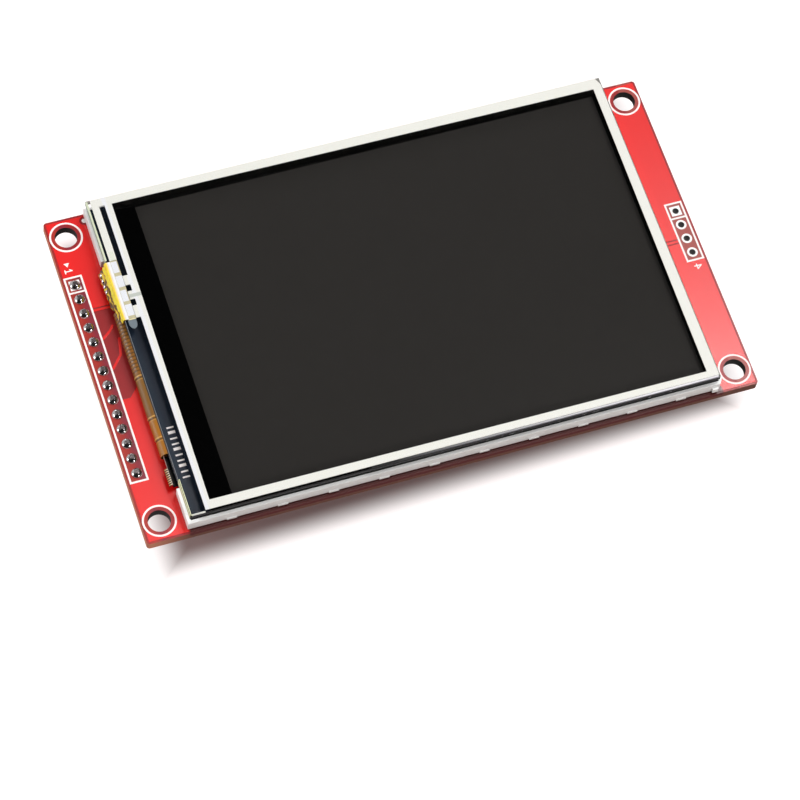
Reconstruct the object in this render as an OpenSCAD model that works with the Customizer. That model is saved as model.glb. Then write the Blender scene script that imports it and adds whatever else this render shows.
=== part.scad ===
// TFT display module: a colour LCD with a resistive touch panel on a red
// carrier board, with a 14-pin header and a memory-card socket underneath.
// Millimetres. The origin is the middle of the four mounting holes on the
// board's top face; +X runs away from the pin header, +Z is the viewing side.

/* [Circuit board] */
// Length of the board, along X
board_length = 98; // [97:0.5:106]
// Width of the board, along Y
board_width = 56.34; // [56.2:0.1:64]
// Thickness of the laminate
board_thickness = 1.6; // [1.0:0.1:2.0]
// Radius of the board's corners
board_corner_radius = 0.5; // [0.2:0.1:1.5]
// Diameter of the four mounting holes
hole_diameter = 3.5; // [2.6:0.1:3.8]
// Hole centre to the short edge
hole_inset_x = 2.8; // [2.75:0.05:3.3]
// Hole centre to the long edge
hole_inset_y = 3.25; // [3.0:0.05:3.6]
// Thickness of the copper foil
copper_thickness = 0.035; // [0.02:0.005:0.07]
// Bare strip between the copper pour and the board's edge
pour_margin = 0.35; // [0.2:0.05:0.6]
// Diameter of the copper-free disc round a mounting hole
hole_clearing = 4.5; // [4.2:0.1:4.8]
// Gap between a pad and the pour
pad_clearance = 0.3; // [0.15:0.05:0.35]
// Width of a signal trace
trace_width = 0.4; // [0.25:0.05:0.6]
// Diameter of the alignment dots
fiducial_diameter = 0.75; // [0.5:0.05:1]

/* [Printed legend] */
// Thickness of the white ink
ink_thickness = 0.02; // [0.01:0.005:0.05]
// Width of an ink line
ink_line = 0.3; // [0.2:0.02:0.36]
// Width of the frame printed round each row of pads
legend_frame_width = 2.63; // [2.5:0.01:2.8]
// Height of the pin-one figure
figure_height = 1.1; // [0.8:0.1:1.4]

/* [Pin header] */
// Distance between pins
pin_pitch = 2.54; // [2.4:0.02:2.6]
// Side of the square pin
pin_side = 0.64; // [0.5:0.02:0.66]
// Pin length below the plastic strip
pin_reach = 6; // [4:0.5:12]
// Pin length above the board's top face
pin_tail = 0.8; // [0.7:0.05:1.2]
// Width of the plastic strip
strip_width = 2.5; // [2.2:0.1:2.6]
// Height of the plastic strip
strip_height = 2.54; // [1.5:0.1:3]
// Corner cut between two pins of the strip
strip_notch = 0.4; // [0.2:0.05:0.5]
// Pin row to the short edge
header_inset = 1.8; // [1.75:0.05:2.2]
// Diameter of the plated hole
pin_hole = 1.02; // [0.98:0.02:1.1]
// Plating in a hole
plating = 0.04; // [0.02:0.01:0.06]
// Diameter of a pad
pad_diameter = 1.7; // [1.5:0.05:1.8]
// Height of a solder dome
solder_height = 0.62; // [0.4:0.02:0.64]

/* [Storage header holes] */
// Number of holes
storage_count = 4; // [2:1:6]
// Hole row to the other short edge
storage_inset = 1.84; // [1.75:0.01:2.2]

/* [Backlight frame] */
// Board edge to the frame, beside the pin header
frame_margin_left = 6.4; // [6.2:0.1:8]
// Board edge to the frame, at the other short edge
frame_margin_right = 6; // [5.5:0.1:8]
// Board edge to the frame, along the lower long edge
frame_margin_low = 0.62; // [0.4:0.02:1.5]
// Board edge to the frame, along the upper long edge
frame_margin_high = 0.22; // [0.2:0.02:1.5]
// Height of the white frame
frame_height = 1.8; // [1.75:0.01:1.85]
// Wall beside the glass
frame_wall = 0.55; // [0.45:0.05:0.6]
// Width of the shelf that carries the glass
frame_shelf = 0.7; // [0.5:0.05:0.9]
// Corner cut of the frame
frame_chamfer = 0.5; // [0.2:0.05:0.5]
// Small tabs along the foot of each long wall
tab_count = 10; // [6:1:12]
// Length of a tab
tab_length = 1.6; // [1:0.1:2.4]
// Opening in the left wall for the cables
cable_gap = 39.8; // [39.5:0.1:42]
// Middle of that opening from the frame's middle
cable_gap_shift = -1.8; // [-2:0.05:-1.7]
// Foam tape under the frame
tape_thickness = 0.3; // [0.25:0.05:0.6]
// Frame edge to the foam tape, beside the cable
tape_margin_left = 11.8; // [10:0.2:20]
// Frame edge to the foam tape, at the other short edge
tape_margin_right = 7.8; // [2:0.2:20]
// Frame edge to the foam tape, along the long edges
tape_margin_y = 7.75; // [1:0.25:15]

/* [Backlight] */
// Thickness of the reflector foil
reflector_thickness = 0.08; // [0.05:0.01:0.1]
// Thickness of the light guide
guide_thickness = 0.6; // [0.5:0.02:0.64]
// Thickness of one optical sheet
sheet_thickness = 0.07; // [0.05:0.01:0.09]
// Number of side-view lamps
lamp_count = 6; // [4:1:8]
// Length of a lamp
lamp_length = 3.8; // [3:0.1:4]
// Depth of a lamp
lamp_depth = 1.0; // [0.6:0.1:1.2]
// Thickness of the lamp strip
lamp_strip_thickness = 0.1; // [0.06:0.01:0.14]

/* [Display glass] */
// Thickness of each sheet of glass
glass_thickness = 0.5; // [0.4:0.05:0.6]
// Glass to frame wall
glass_clearance = 0.1; // [0.05:0.01:0.15]
// Width of the contact ledge on the left
ledge_width = 3; // [2.8:0.1:3.4]
// Thickness of the rear polariser
rear_film_thickness = 0.13; // [0.1:0.01:0.14]
// Thickness of the front polariser
front_film_thickness = 0.2; // [0.1:0.01:0.25]
// Dark border on the left of the picture area
dark_border_left = 3.9; // [3:0.1:4.5]
// Dark border on the right of the picture area
dark_border_right = 1.8; // [1:0.05:2.4]
// Dark border above the picture area
dark_border_top = 1.55; // [1:0.05:2]
// Dark border below the picture area
dark_border_bottom = 0.9; // [0.6:0.05:1.4]
// Length of the driver chip
driver_length = 20; // [12:0.5:22]
// Width of the driver chip
driver_width = 1; // [0.8:0.05:1.2]
// Thickness of the driver chip
driver_thickness = 0.3; // [0.2:0.01:0.32]
// Thickness of the dark tape over the ledge
ledge_tape_thickness = 0.12; // [0.08:0.01:0.15]
// Length of the printed bar row on that tape
mark_row_length = 9.4; // [6:0.1:12]
// Number of printed bars
mark_count = 10; // [6:1:12]

/* [Display cable] */
// Thickness of the cable
cable_thickness = 0.1; // [0.08:0.01:0.12]
// Width of the cable
cable_width = 25; // [22:0.5:25.2]
// Middle of the cable from the board centre
cable_middle = -3.1; // [-3.2:0.1:-2.9]
// Where the fold begins, left of the glass
cable_overhang = 0.3; // [0.2:0.05:0.4]
// Height of the cable above the board
cable_lift = 0.1; // [0.08:0.01:0.12]
// Length of the cable under the frame
cable_tuck = 7.4; // [6:0.1:8]
// Number of soldered lands
land_count = 24; // [16:1:30]
// Width of the test-contact wing
wing_width = 3.8; // [3:0.1:4]
// Number of test contacts
finger_count = 8; // [6:1:10]
// Thickness of a test contact
finger_thickness = 0.05; // [0.03:0.01:0.08]

/* [Touch panel] */
// Frame edge to the touch glass, on the left
touch_inset_left = 0.3; // [0.25:0.05:0.5]
// Frame edge to the touch glass, on the right
touch_inset_right = 0.7; // [0:0.05:1]
// Frame edge to the touch glass, at the bottom
touch_inset_low = 0.35; // [0:0.05:0.6]
// Frame edge to the touch glass, at the top
touch_inset_high = 0; // [0:0.05:0.4]
// Thickness of the touch glass
touch_thickness = 1.1; // [0.7:0.05:1.8]
// Thickness of the black gasket
gasket_thickness = 0.5; // [0.3:0.05:0.8]
// Thickness of the white border
border_thickness = 0.1; // [0.08:0.01:0.2]
// Thickness of the clear top film
film_thickness = 0.15; // [0.1:0.01:0.25]
// Glass edge to the clear window, on the left
window_inset_left = 3.645; // [3.6:0.005:3.8]
// Glass edge to the clear window, on the right
window_inset_right = 1.705; // [1.4:0.005:2.5]
// Glass edge to the clear window, at the bottom
window_inset_low = 1.535; // [1.3:0.005:2.5]
// Glass edge to the clear window, at the top
window_inset_high = 1.615; // [1.4:0.005:2.5]
// Turn of the window in the border, in degrees
window_turn = -0.3; // [-0.4:0.05:0]
// Film edge to glass edge, on the right
film_inset_right = 0.15; // [0.1:0.01:0.3]
// Film edge to glass edge, at the top
film_inset_top = 0.05; // [0.03:0.01:0.15]
// Film edge to glass edge, at the bottom
film_inset_bottom = 0.3; // [0.1:0.05:0.4]
// Film edge to glass edge, beside the tail
film_inset_left = 0.65; // [0.5:0.05:0.8]
// Film edge to glass edge, below the tail
film_inset_leg = 2.5; // [2.3:0.05:2.6]
// Corner cut of the film
film_corner = 0.6; // [0.3:0.1:0.9]
// Width of the slot in the border
slot_width = 0.87; // [0.7:0.01:0.95]
// Length of the slot in the border
slot_length = 12.6; // [11:0.1:12.8]

/* [Touch tail] */
// Number of tail contacts
tail_contacts = 4; // [3:1:4]
// Distance between tail contacts
tail_pitch = 2.54; // [2.4:0.02:2.56]
// Length of one tail contact
tail_contact_length = 1.95; // [1.6:0.05:2.1]
// Thickness of the tail
tail_thickness = 0.07; // [0.05:0.01:0.075]
// Middle of the contacts from the board centre
tail_middle = 11.9; // [11.8:0.05:12]
// Width of the tail where it hangs over the edge
tail_width = 7.3; // [6.5:0.1:7.4]
// Inner radius of the tail's folds
tail_fold = 0.3; // [0.2:0.02:0.34]
// Size of a solder bead on the tail
bead_diameter = 0.84; // [0.7:0.02:0.9]
// Distance between the beads
bead_pitch = 1.0; // [0.92:0.02:1.1]

/* [Card socket] */
// Width of the socket
socket_width = 27; // [26.5:0.1:28]
// Length of the socket
socket_length = 28; // [26:0.1:30]
// Height of the socket
socket_height = 2.85; // [2.75:0.05:3.4]
// Sheet thickness of the metal shell
shell_thickness = 0.25; // [0.2:0.01:0.3]
// Thickness of the plastic floor
socket_floor = 0.7; // [0.5:0.05:0.8]
// Width of the card slot
card_slot_width = 24.4; // [24.2:0.1:24.6]
// Short edge of the board to the socket
socket_margin = 9; // [8:0.5:11]
// Socket mouth to the long edge
socket_inset = 0.6; // [0.3:0.1:2]
// Number of card contacts
card_contacts = 9; // [7:1:9]
// Distance between card contacts
contact_pitch = 2.5; // [2.2:0.1:2.6]
// Width of a card contact
contact_width = 0.8; // [0.6:0.1:1.2]
// Sheet thickness of a card contact
contact_sheet = 0.15; // [0.1:0.01:0.2]
// Length of a card contact behind its solder foot
contact_reach = 12.65; // [11:0.05:14]

/* [Underside parts] */
// Body length of the touch controller
controller_length = 5; // [4.9:0.1:5.4]
// Body width of the touch controller
controller_width = 4.4; // [4:0.1:4.6]
// Body height of the touch controller
controller_height = 0.95; // [0.7:0.05:1.2]
// Lead pitch of the touch controller
lead_pitch = 0.65; // [0.6:0.01:0.66]
// Stand-off of the chip bodies
chip_standoff = 0.1; // [0.05:0.01:0.2]
// Length of a chip resistor or capacitor
chip_length = 1.6; // [1.4:0.1:1.8]
// Width of a chip resistor or capacitor
chip_width = 0.8; // [0.6:0.05:0.9]
// Height of a chip resistor
resistor_height = 0.45; // [0.35:0.05:0.6]
// Height of a chip capacitor
capacitor_height = 0.8; // [0.6:0.05:0.9]
// Length of each metal end of a chip
chip_end = 0.3; // [0.2:0.05:0.4]

/* [Hidden] */
pin_numbers = ["01", "02", "03", "04", "05", "06", "07", "08", "09", "10", "11", "12", "13", "14"];
pin_count = len(pin_numbers);

$fn = 48;
eps = 0.01;

// Levels, from the board's top face upwards
copper_top = copper_thickness;
frame_bottom = tape_thickness;
frame_top = frame_bottom + frame_height;
reflector_top = frame_bottom + reflector_thickness;
guide_top = reflector_top + guide_thickness;
diffuser_top = guide_top + sheet_thickness;
rear_glass_bottom = frame_top - 0.05 - glass_thickness;
rear_glass_top = rear_glass_bottom + glass_thickness;
front_glass_top = rear_glass_top + glass_thickness;
polariser_top = front_glass_top + front_film_thickness;
gasket_top = front_glass_top + gasket_thickness;
touch_top = gasket_top + touch_thickness;
border_top = touch_top + border_thickness;
film_top = border_top + film_thickness;

// Levels, from the board's bottom face downwards
board_bottom = -board_thickness;
copper_bottom = board_bottom - copper_thickness;
ink_bottom = copper_bottom - ink_thickness;
strip_bottom = copper_bottom - strip_height;
pin_bottom = strip_bottom - pin_reach;
socket_bottom = copper_bottom - socket_height;

// The socket, in its own frame: x from its middle, y from its rear wall
socket_x = board_length / 2 - socket_margin - socket_width / 2;
socket_y = board_width / 2 - socket_inset - socket_length;
socket_inner = socket_width / 2 - shell_thickness;
socket_lid_top = socket_bottom + shell_thickness;
socket_floor_z = copper_bottom - socket_floor;

// Places on the board
hole_x = board_length / 2 - hole_inset_x;
hole_y = board_width / 2 - hole_inset_y;
header_x = header_inset - board_length / 2;
storage_x = board_length / 2 - storage_inset;
header_top_y = (pin_count - 1) / 2 * pin_pitch;
storage_top_y = (storage_count - 1) / 2 * pin_pitch;
pad_radius = pad_diameter / 2;
legend_half = legend_frame_width / 2;
hole_shell = pin_hole / 2 + plating;

// The frame and its pocket
frame_left = frame_margin_left - board_length / 2;
frame_right = board_length / 2 - frame_margin_right;
frame_low = frame_margin_low - board_width / 2;
frame_high = board_width / 2 - frame_margin_high;
frame_middle_y = (frame_low + frame_high) / 2;
glass_left = frame_left + frame_wall + glass_clearance;
glass_right = frame_right - frame_wall - glass_clearance;
glass_low = frame_low + frame_wall + glass_clearance;
glass_high = frame_high - frame_wall - glass_clearance;
well_left = glass_left + frame_shelf;
well_right = glass_right - frame_shelf;
well_low = glass_low + frame_shelf;
well_high = glass_high - frame_shelf;
ledge_right = glass_left + ledge_width;
cable_gap_low = frame_middle_y + cable_gap_shift - cable_gap / 2;
cable_gap_high = cable_gap_low + cable_gap;

// The lamps stand at the left end of the well
sheet_slack = 0.05;
lamp_left = well_left + 0.3;
lamp_right = lamp_left + lamp_depth;
guide_left = lamp_right + sheet_slack;
lamp_strip_right = guide_left + 0.8;

// The touch panel
touch_left = frame_left + touch_inset_left;
touch_right = frame_right - touch_inset_right;
touch_low = frame_low + touch_inset_low;
touch_high = frame_high - touch_inset_high;
film_left = touch_left + film_inset_left;
film_leg = touch_left + film_inset_leg;
film_right = touch_right - film_inset_right;
film_low = touch_low + film_inset_bottom;
film_high = touch_high - film_inset_top;
window_left = touch_left + window_inset_left;
window_length = touch_right - window_inset_right - window_left;
window_low = touch_low + window_inset_low;
window_width = touch_high - window_inset_high - window_low;
gasket_left = ledge_right + dark_border_left;
gasket_right = glass_right - dark_border_right;
gasket_low = glass_low + dark_border_bottom;
gasket_high = glass_high - dark_border_top;

// The tail and its contacts
tail_head_low = tail_middle - (tail_contacts - 1) / 2 * tail_pitch - tail_contact_length / 2 - 0.55;
tail_head_high = tail_middle + (tail_contacts - 1) / 2 * tail_pitch + tail_contact_length / 2 + 0.2;
tail_head_right = film_left + 1.1;
tail_low = tail_head_high - tail_width;
tail_hang = touch_left - 0.2;
tail_outer = tail_fold + tail_thickness;
tail_face = tail_hang - tail_fold;

// The display cable
cable_turn = glass_left - cable_overhang;
cable_run_top = rear_glass_top + cable_thickness;
cable_radius = (cable_run_top - cable_lift) / 2;
cable_low = cable_middle - cable_width / 2;
cable_high = cable_middle + cable_width / 2;
wing_low = cable_low - 1.2 - wing_width;
tape_face = frame_left + frame_wall;
side_tape_thickness = 0.05;

slot_high = film_high - 1.35;
slot_right = window_left - 1;

module box(x0, y0, z0, x1, y1, z1) {
    translate([x0, y0, z0]) cube([x1 - x0, y1 - y0, z1 - z0]);
}

module rounded_plate(length, width, radius, z0, z1) {
    box(radius - length / 2, -width / 2, z0, length / 2 - radius, width / 2, z1);
    box(-length / 2, radius - width / 2, z0, length / 2, width / 2 - radius, z1);
    for (x = [-1, 1], y = [-1, 1])
        translate([x * (length / 2 - radius), y * (width / 2 - radius), z0])
            cylinder(r = radius, h = z1 - z0);
}

module at_holes() {
    for (x = [-hole_x, hole_x], y = [-hole_y, hole_y]) translate([x, y, 0]) children();
}

module at_header() {
    for (i = [0 : pin_count - 1]) translate([header_x, header_top_y - i * pin_pitch, 0]) children();
}

module at_storage() {
    for (i = [0 : storage_count - 1]) translate([storage_x, storage_top_y - i * pin_pitch, 0]) children();
}

// A bar from one point to another, with round ends
module trace(a, b, z0 = 0, width = trace_width, height = copper_thickness) {
    run = norm(b - a);
    translate([a[0], a[1], z0]) rotate([0, 0, atan2(b[1] - a[1], b[0] - a[0])]) {
        translate([0, -width / 2, 0]) cube([run, width, height]);
        cylinder(d = width, h = height);
        translate([run, 0, 0]) cylinder(d = width, h = height);
    }
}

// ---- Circuit board ----

// Where the pour leaves the laminate bare beside the header
clearing_left = header_x + legend_half;
clearing_high = 11.95;
clearing_low = -4.2;
clearing_right = clearing_left + 8;
clearing_slope = 7.0;
trace_start = clearing_left + trace_width / 2 + 0.05;
trace_ends = [
    [[trace_start, 11.53], [trace_start + 3.4, 11.53]],
    [[trace_start, 6.5], [trace_start + 1.45, 7.6]],
    [[trace_start + 1.45, 7.6], [trace_start + 1.95, 8.3]],
    [[trace_start, 1.2], [trace_start + 1.8, 3.2]],
    [[trace_start + 1.8, 3.2], [trace_start + 2.35, 5.9]]
];
storage_trace_y = -0.56 * pin_pitch;
dot_x = frame_left - 0.12;
dot_y = frame_high - 0.95;

module circuit_board() {
    color("firebrick") difference() {
        rounded_plate(board_length, board_width, board_corner_radius, board_bottom, 0);
        at_holes() translate([0, 0, board_bottom - 1]) cylinder(d = hole_diameter, h = board_thickness + 2);
        at_header() translate([0, 0, board_bottom - 1]) cylinder(r = hole_shell, h = board_thickness + 2);
        at_storage() translate([0, 0, board_bottom - 1]) cylinder(r = hole_shell, h = board_thickness + 2);
    }
}

// The rectangle round a row of pads, half_x either side of it
module row_window(x, top_y, count, z0, z1, half_x) {
    reach = pin_pitch / 2 + half_x - pad_radius - pad_clearance - 0.05;
    box(x - half_x, top_y - (count - 1) * pin_pitch - reach, z0, x + half_x, top_y + reach, z1);
}

module pour_plate(z0, z1) {
    difference() {
        box(pour_margin - board_length / 2, pour_margin - board_width / 2, z0,
            board_length / 2 - pour_margin, board_width / 2 - pour_margin, z1);
        at_holes() translate([0, 0, z0 - 1]) cylinder(d = hole_clearing, h = z1 - z0 + 2);
        row_window(header_x, header_top_y, pin_count, z0 - 1, z1 + 1, legend_half);
        row_window(storage_x, storage_top_y, storage_count, z0 - 1, z1 + 1, legend_half);
    }
}

module pad_square(half, height) {
    translate([-half, -half, 0]) cube([2 * half, 2 * half, height]);
}

module ground_pour_top() {
    color("red") difference() {
        pour_plate(0, copper_top);
        translate([0, 0, -1]) linear_extrude(height = 3) polygon([
            [clearing_left, clearing_high], [clearing_right, clearing_high],
            [clearing_right, clearing_low + clearing_slope], [clearing_left + 1.4, clearing_low],
            [clearing_left, clearing_low]
        ]);
        translate([dot_x, dot_y, -1]) cylinder(d = fiducial_diameter + 0.7, h = 3);
        box(storage_x - 10, storage_trace_y - trace_width / 2 - 0.22, -1,
            storage_x - pad_radius, storage_trace_y + trace_width / 2 + 0.22, 1);
    }
}

module ground_pour_bottom() {
    color("red") pour_plate(copper_bottom, board_bottom);
}

module signal_traces() {
    color("tomato") {
        for (t = trace_ends) trace(t[0], t[1]);
        trace([storage_x - 9, storage_trace_y], [storage_x - pad_radius - 0.6, storage_trace_y]);
    }
}

module alignment_dots() {
    color("silver") translate([dot_x, dot_y, 0]) cylinder(d = fiducial_diameter, h = copper_top);
}

// An ink frame round a row of pads, half_x either side of it
module row_frame(x, top_y, count, z0, half_x) {
    difference() {
        row_window(x, top_y, count, z0, z0 + ink_thickness, half_x + ink_line / 2);
        row_window(x, top_y, count, z0 - 1, z0 + 1, half_x - ink_line / 2);
    }
}

// The frame on the top face, with a divider under the first pad
module row_legend(x, top_y, count) {
    divider = top_y - pin_pitch / 2;
    row_frame(x, top_y, count, copper_top, legend_half);
    box(x - legend_half, divider - ink_line / 2, copper_top,
        x + legend_half, divider + ink_line / 2, copper_top + ink_thickness);
}

// A stroke of a printed figure
module stroke(a, b) {
    trace(a, b, copper_top, figure_height / 6, ink_thickness);
}

// The figure 1 with a pointer beside it, lying on its side
module pin_one_mark() {
    half = figure_height / 2;
    stroke([-half, 0], [half, 0]);
    stroke([half, 0], [half / 3, half / 2]);
    stroke([-half, -half / 2], [-half, half / 2]);
    translate([0, 0, copper_top]) linear_extrude(height = ink_thickness)
        polygon([[-0.8 * half, 2.6 * half], [0.8 * half, 2.6 * half], [0, 1.3 * half]]);
}

// The figure 4, lying on its side
module last_hole_mark() {
    half = figure_height / 2;
    stroke([-half, 0.3 * half], [half, 0.3 * half]);
    stroke([half, 0.3 * half], [-0.3 * half, -0.7 * half]);
    stroke([-0.3 * half, -0.7 * half], [-0.3 * half, 0.8 * half]);
}

module board_legend() {
    color("white") {
        at_holes() difference() {
            translate([0, 0, copper_top])
                cylinder(d = hole_clearing + 2 * ink_line + 0.1, h = ink_thickness);
            translate([0, 0, -1]) cylinder(d = hole_clearing + 0.1, h = 3);
        }
        row_legend(header_x, header_top_y, pin_count);
        row_legend(storage_x, storage_top_y, storage_count);
        row_frame(header_x, header_top_y, pin_count, ink_bottom, strip_width / 2 + ink_line / 2 + 0.05);
        row_frame(storage_x, storage_top_y, storage_count, ink_bottom, legend_half);
        translate([header_x - 0.25, header_top_y + pin_pitch / 2 + 1.3, 0]) pin_one_mark();
        translate([storage_x, -storage_top_y - pin_pitch - 0.1, 0]) last_hole_mark();
    }
}

// Plated barrels with a pad on each face; the first pad is square
module plated_row(x, top_y, count) {
    difference() {
        union() {
            for (i = [0 : count - 1]) translate([x, top_y - i * pin_pitch, 0]) {
                translate([0, 0, copper_bottom]) cylinder(r = hole_shell, h = copper_top - copper_bottom);
                for (z = [0, copper_bottom]) translate([0, 0, z]) {
                    if (i == 0) pad_square(pad_radius, copper_thickness);
                    else cylinder(r = pad_radius, h = copper_thickness);
                }
            }
        }
        for (i = [0 : count - 1])
            translate([x, top_y - i * pin_pitch, copper_bottom - 1])
                cylinder(d = pin_hole, h = board_thickness + 3);
    }
}

module header_pads() {
    color("silver") plated_row(header_x, header_top_y, pin_count);
}

module storage_pads() {
    color("silver") plated_row(storage_x, storage_top_y, storage_count);
}

// ---- Pin header ----

module pin_shape(z0, z1) {
    translate([-pin_side / 2, -pin_side / 2, z0]) cube([pin_side, pin_side, z1 - z0]);
}

module header_strip() {
    half = strip_width / 2;
    step = pin_pitch / 2;
    color("black") difference() {
        at_header() translate([0, 0, strip_bottom]) linear_extrude(height = strip_height) polygon([
            [-half, -step + strip_notch], [-half + strip_notch, -step], [half - strip_notch, -step],
            [half, -step + strip_notch], [half, step - strip_notch], [half - strip_notch, step],
            [-half + strip_notch, step], [-half, step - strip_notch]
        ]);
        at_header() pin_shape(strip_bottom - 1, 0);
    }
}

// A square pin with a four-sided point at its free end
module header_pin(i) {
    point = pin_side * 0.3;
    color("gold") translate([header_x, header_top_y - i * pin_pitch, 0]) intersection() {
        pin_shape(pin_bottom, pin_tail);
        union() {
            pin_shape(pin_bottom + point, pin_tail);
            for (a = [0, 90]) rotate([0, 0, a]) translate([-pin_side, 0, 0]) rotate([90, 0, 90])
                linear_extrude(height = 2 * pin_side) polygon([
                    [-pin_side / 2 + point, pin_bottom], [pin_side / 2 - point, pin_bottom],
                    [pin_side / 2, pin_bottom + point], [-pin_side / 2, pin_bottom + point]
                ]);
        }
    }
}

module header_solder() {
    base = pad_radius - 0.06;
    ball = (base * base + solder_height * solder_height) / (2 * solder_height);
    color("lightgray") at_header() difference() {
        intersection() {
            translate([0, 0, copper_top + solder_height - ball]) sphere(r = ball);
            translate([0, 0, copper_top]) cylinder(r = pad_radius * 2, h = solder_height);
        }
        pin_shape(0, solder_height + 1);
    }
}

// ---- Backlight ----

module mounting_tape() {
    color("gainsboro") box(frame_left + tape_margin_left, frame_low + tape_margin_y, copper_top,
        frame_right - tape_margin_right, frame_high - tape_margin_y, frame_bottom);
}

tab_depth = 0.15;
tab_step = (frame_right - frame_left - 13.6) / (tab_count - 1);
tab_left = frame_left + 6.8 - tab_length / 2;

module frame_outline(z0, z1) {
    translate([0, 0, z0]) linear_extrude(height = z1 - z0) polygon([
        [frame_left, frame_low], [frame_right - frame_chamfer, frame_low],
        [frame_right, frame_low + frame_chamfer * 1.6], [frame_right, frame_high - frame_chamfer],
        [frame_right - frame_chamfer, frame_high], [frame_left, frame_high]
    ]);
}

module backlight_frame() {
    lug = 0.38;
    color("white") difference() {
        union() {
            frame_outline(frame_bottom, frame_top);
            box(frame_right - 1.7, frame_low - lug, frame_bottom,
                frame_right - 0.8, frame_low + 0.1, frame_bottom + 1);
            for (i = [0 : tab_count - 1])
                box(tab_left + i * tab_step, frame_low - tab_depth, frame_bottom,
                    tab_left + i * tab_step + tab_length, frame_high + tab_depth, frame_bottom + 0.35);
        }
        box(frame_left + frame_wall, frame_low + frame_wall, rear_glass_bottom,
            frame_right - frame_wall, frame_high - frame_wall, frame_top + 1);
        box(well_left, well_low, frame_bottom - 1, well_right, well_high, frame_top + 1);
        box(frame_left - 1, cable_gap_low, frame_bottom - 1,
            frame_left + frame_wall, cable_gap_high, frame_top + 1);
    }
}

// Black tape on the shelf's side, inside the cable opening
module side_tape() {
    color("black") box(tape_face - side_tape_thickness, cable_gap_low + sheet_slack, frame_bottom,
        tape_face, cable_gap_high - sheet_slack, rear_glass_bottom);
}

module reflector_sheet() {
    color("white") box(well_left + sheet_slack, well_low + sheet_slack, frame_bottom,
        well_right - sheet_slack, well_high - sheet_slack, reflector_top);
}

module light_guide() {
    color("lightcyan") box(guide_left, well_low + sheet_slack, reflector_top,
        well_right - sheet_slack, well_high - sheet_slack, guide_top);
}

module optical_sheet(z0) {
    box(lamp_strip_right + sheet_slack, well_low + sheet_slack, z0,
        well_right - sheet_slack, well_high - sheet_slack, z0 + sheet_thickness);
}

module diffuser_sheet() {
    color("white") optical_sheet(guide_top);
}

module prism_sheet() {
    color("whitesmoke") optical_sheet(diffuser_top);
}

module lamp_strip() {
    color("goldenrod") box(well_left + 0.1, well_low + 0.6, guide_top,
        lamp_strip_right, well_high - 0.6, guide_top + lamp_strip_thickness);
}

module backlight_lamps() {
    spread = (well_high - well_low - 6) / lamp_count;
    color("ivory") for (i = [0 : lamp_count - 1])
        translate([lamp_left, frame_middle_y + (i - (lamp_count - 1) / 2) * spread - lamp_length / 2,
            reflector_top])
            cube([lamp_depth, lamp_length, guide_thickness]);
}

// ---- Display glass ----

module rear_polariser() {
    color("dimgray") box(well_left + 0.6, well_low + 0.3, rear_glass_bottom - rear_film_thickness,
        well_right - 0.3, well_high - 0.3, rear_glass_bottom);
}

module rear_glass() {
    color("darkslategray")
        box(glass_left, glass_low, rear_glass_bottom, glass_right, glass_high, rear_glass_top);
}

module front_glass() {
    color("black") box(ledge_right, glass_low, rear_glass_top, glass_right, glass_high, front_glass_top);
}

module front_polariser() {
    color("darkslategray") box(gasket_left + sheet_slack, gasket_low + sheet_slack, front_glass_top,
        gasket_right - sheet_slack, gasket_high - sheet_slack, polariser_top);
}

driver_x = ledge_right - 0.6 - driver_width;

module driver_chip() {
    color("gray") box(driver_x, frame_middle_y - driver_length / 2, rear_glass_top,
        driver_x + driver_width, frame_middle_y + driver_length / 2, rear_glass_top + driver_thickness);
}

ledge_tape_bottom = rear_glass_top + driver_thickness;

module ledge_tape() {
    color("midnightblue") box(glass_left, glass_low, ledge_tape_bottom,
        ledge_right - 0.05, glass_high, ledge_tape_bottom + ledge_tape_thickness);
}

// Plain bars printed on the ledge tape
module ledge_marks() {
    step = mark_row_length / mark_count;
    high = glass_low + 15.7;
    color("white") for (i = [0 : mark_count - 1])
        translate([glass_left + 0.75, high - (i + 0.7) * step, ledge_tape_bottom + ledge_tape_thickness])
            cube([1.1, step * (i % 3 == 1 ? 0.5 : 0.28), ink_thickness]);
}

// ---- Display cable ----

// Extrudes a profile drawn in X and Z along Y, from y0 to y1
module along_y(y0, y1) {
    translate([0, y1, 0]) rotate([90, 0, 0]) linear_extrude(height = y1 - y0) children();
}

// A quarter ring round a point; turn is 0 for the quarter with +X and +Z
module quarter_ring(x, z, outer, thickness, turn) {
    translate([x, z]) rotate(turn) intersection() {
        difference() {
            circle(r = outer);
            circle(r = outer - thickness);
        }
        square(outer + 1);
    }
}

// A wing of the cable that stands up beside the frame
module cable_wing(y0, y1, root) {
    box(tail_face, y0, cable_lift, cable_turn + 3, y1, cable_lift + cable_thickness);
    box(tail_face, y0, cable_lift, tail_face + cable_thickness, y1, frame_top - 0.3);
    box(cable_turn, min(root, y0), cable_lift, cable_turn + 3, max(root, y1), cable_lift + cable_thickness);
}

module display_cable() {
    middle = cable_lift + cable_radius;
    color("sienna") {
        along_y(cable_low, cable_high) {
            quarter_ring(cable_turn, middle, cable_radius, cable_thickness, 90);
            quarter_ring(cable_turn, middle, cable_radius, cable_thickness, 180);
            translate([cable_turn - eps, rear_glass_top])
                square([glass_left + 0.9 - cable_turn + eps, cable_thickness]);
            translate([cable_turn - eps, cable_lift]) square([cable_tuck + eps, cable_thickness]);
        }
        cable_wing(wing_low, wing_low + wing_width, cable_low + 1);
        cable_wing(cable_high + 0.3, tail_head_high - 0.2, cable_high - 1);
    }
}

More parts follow.
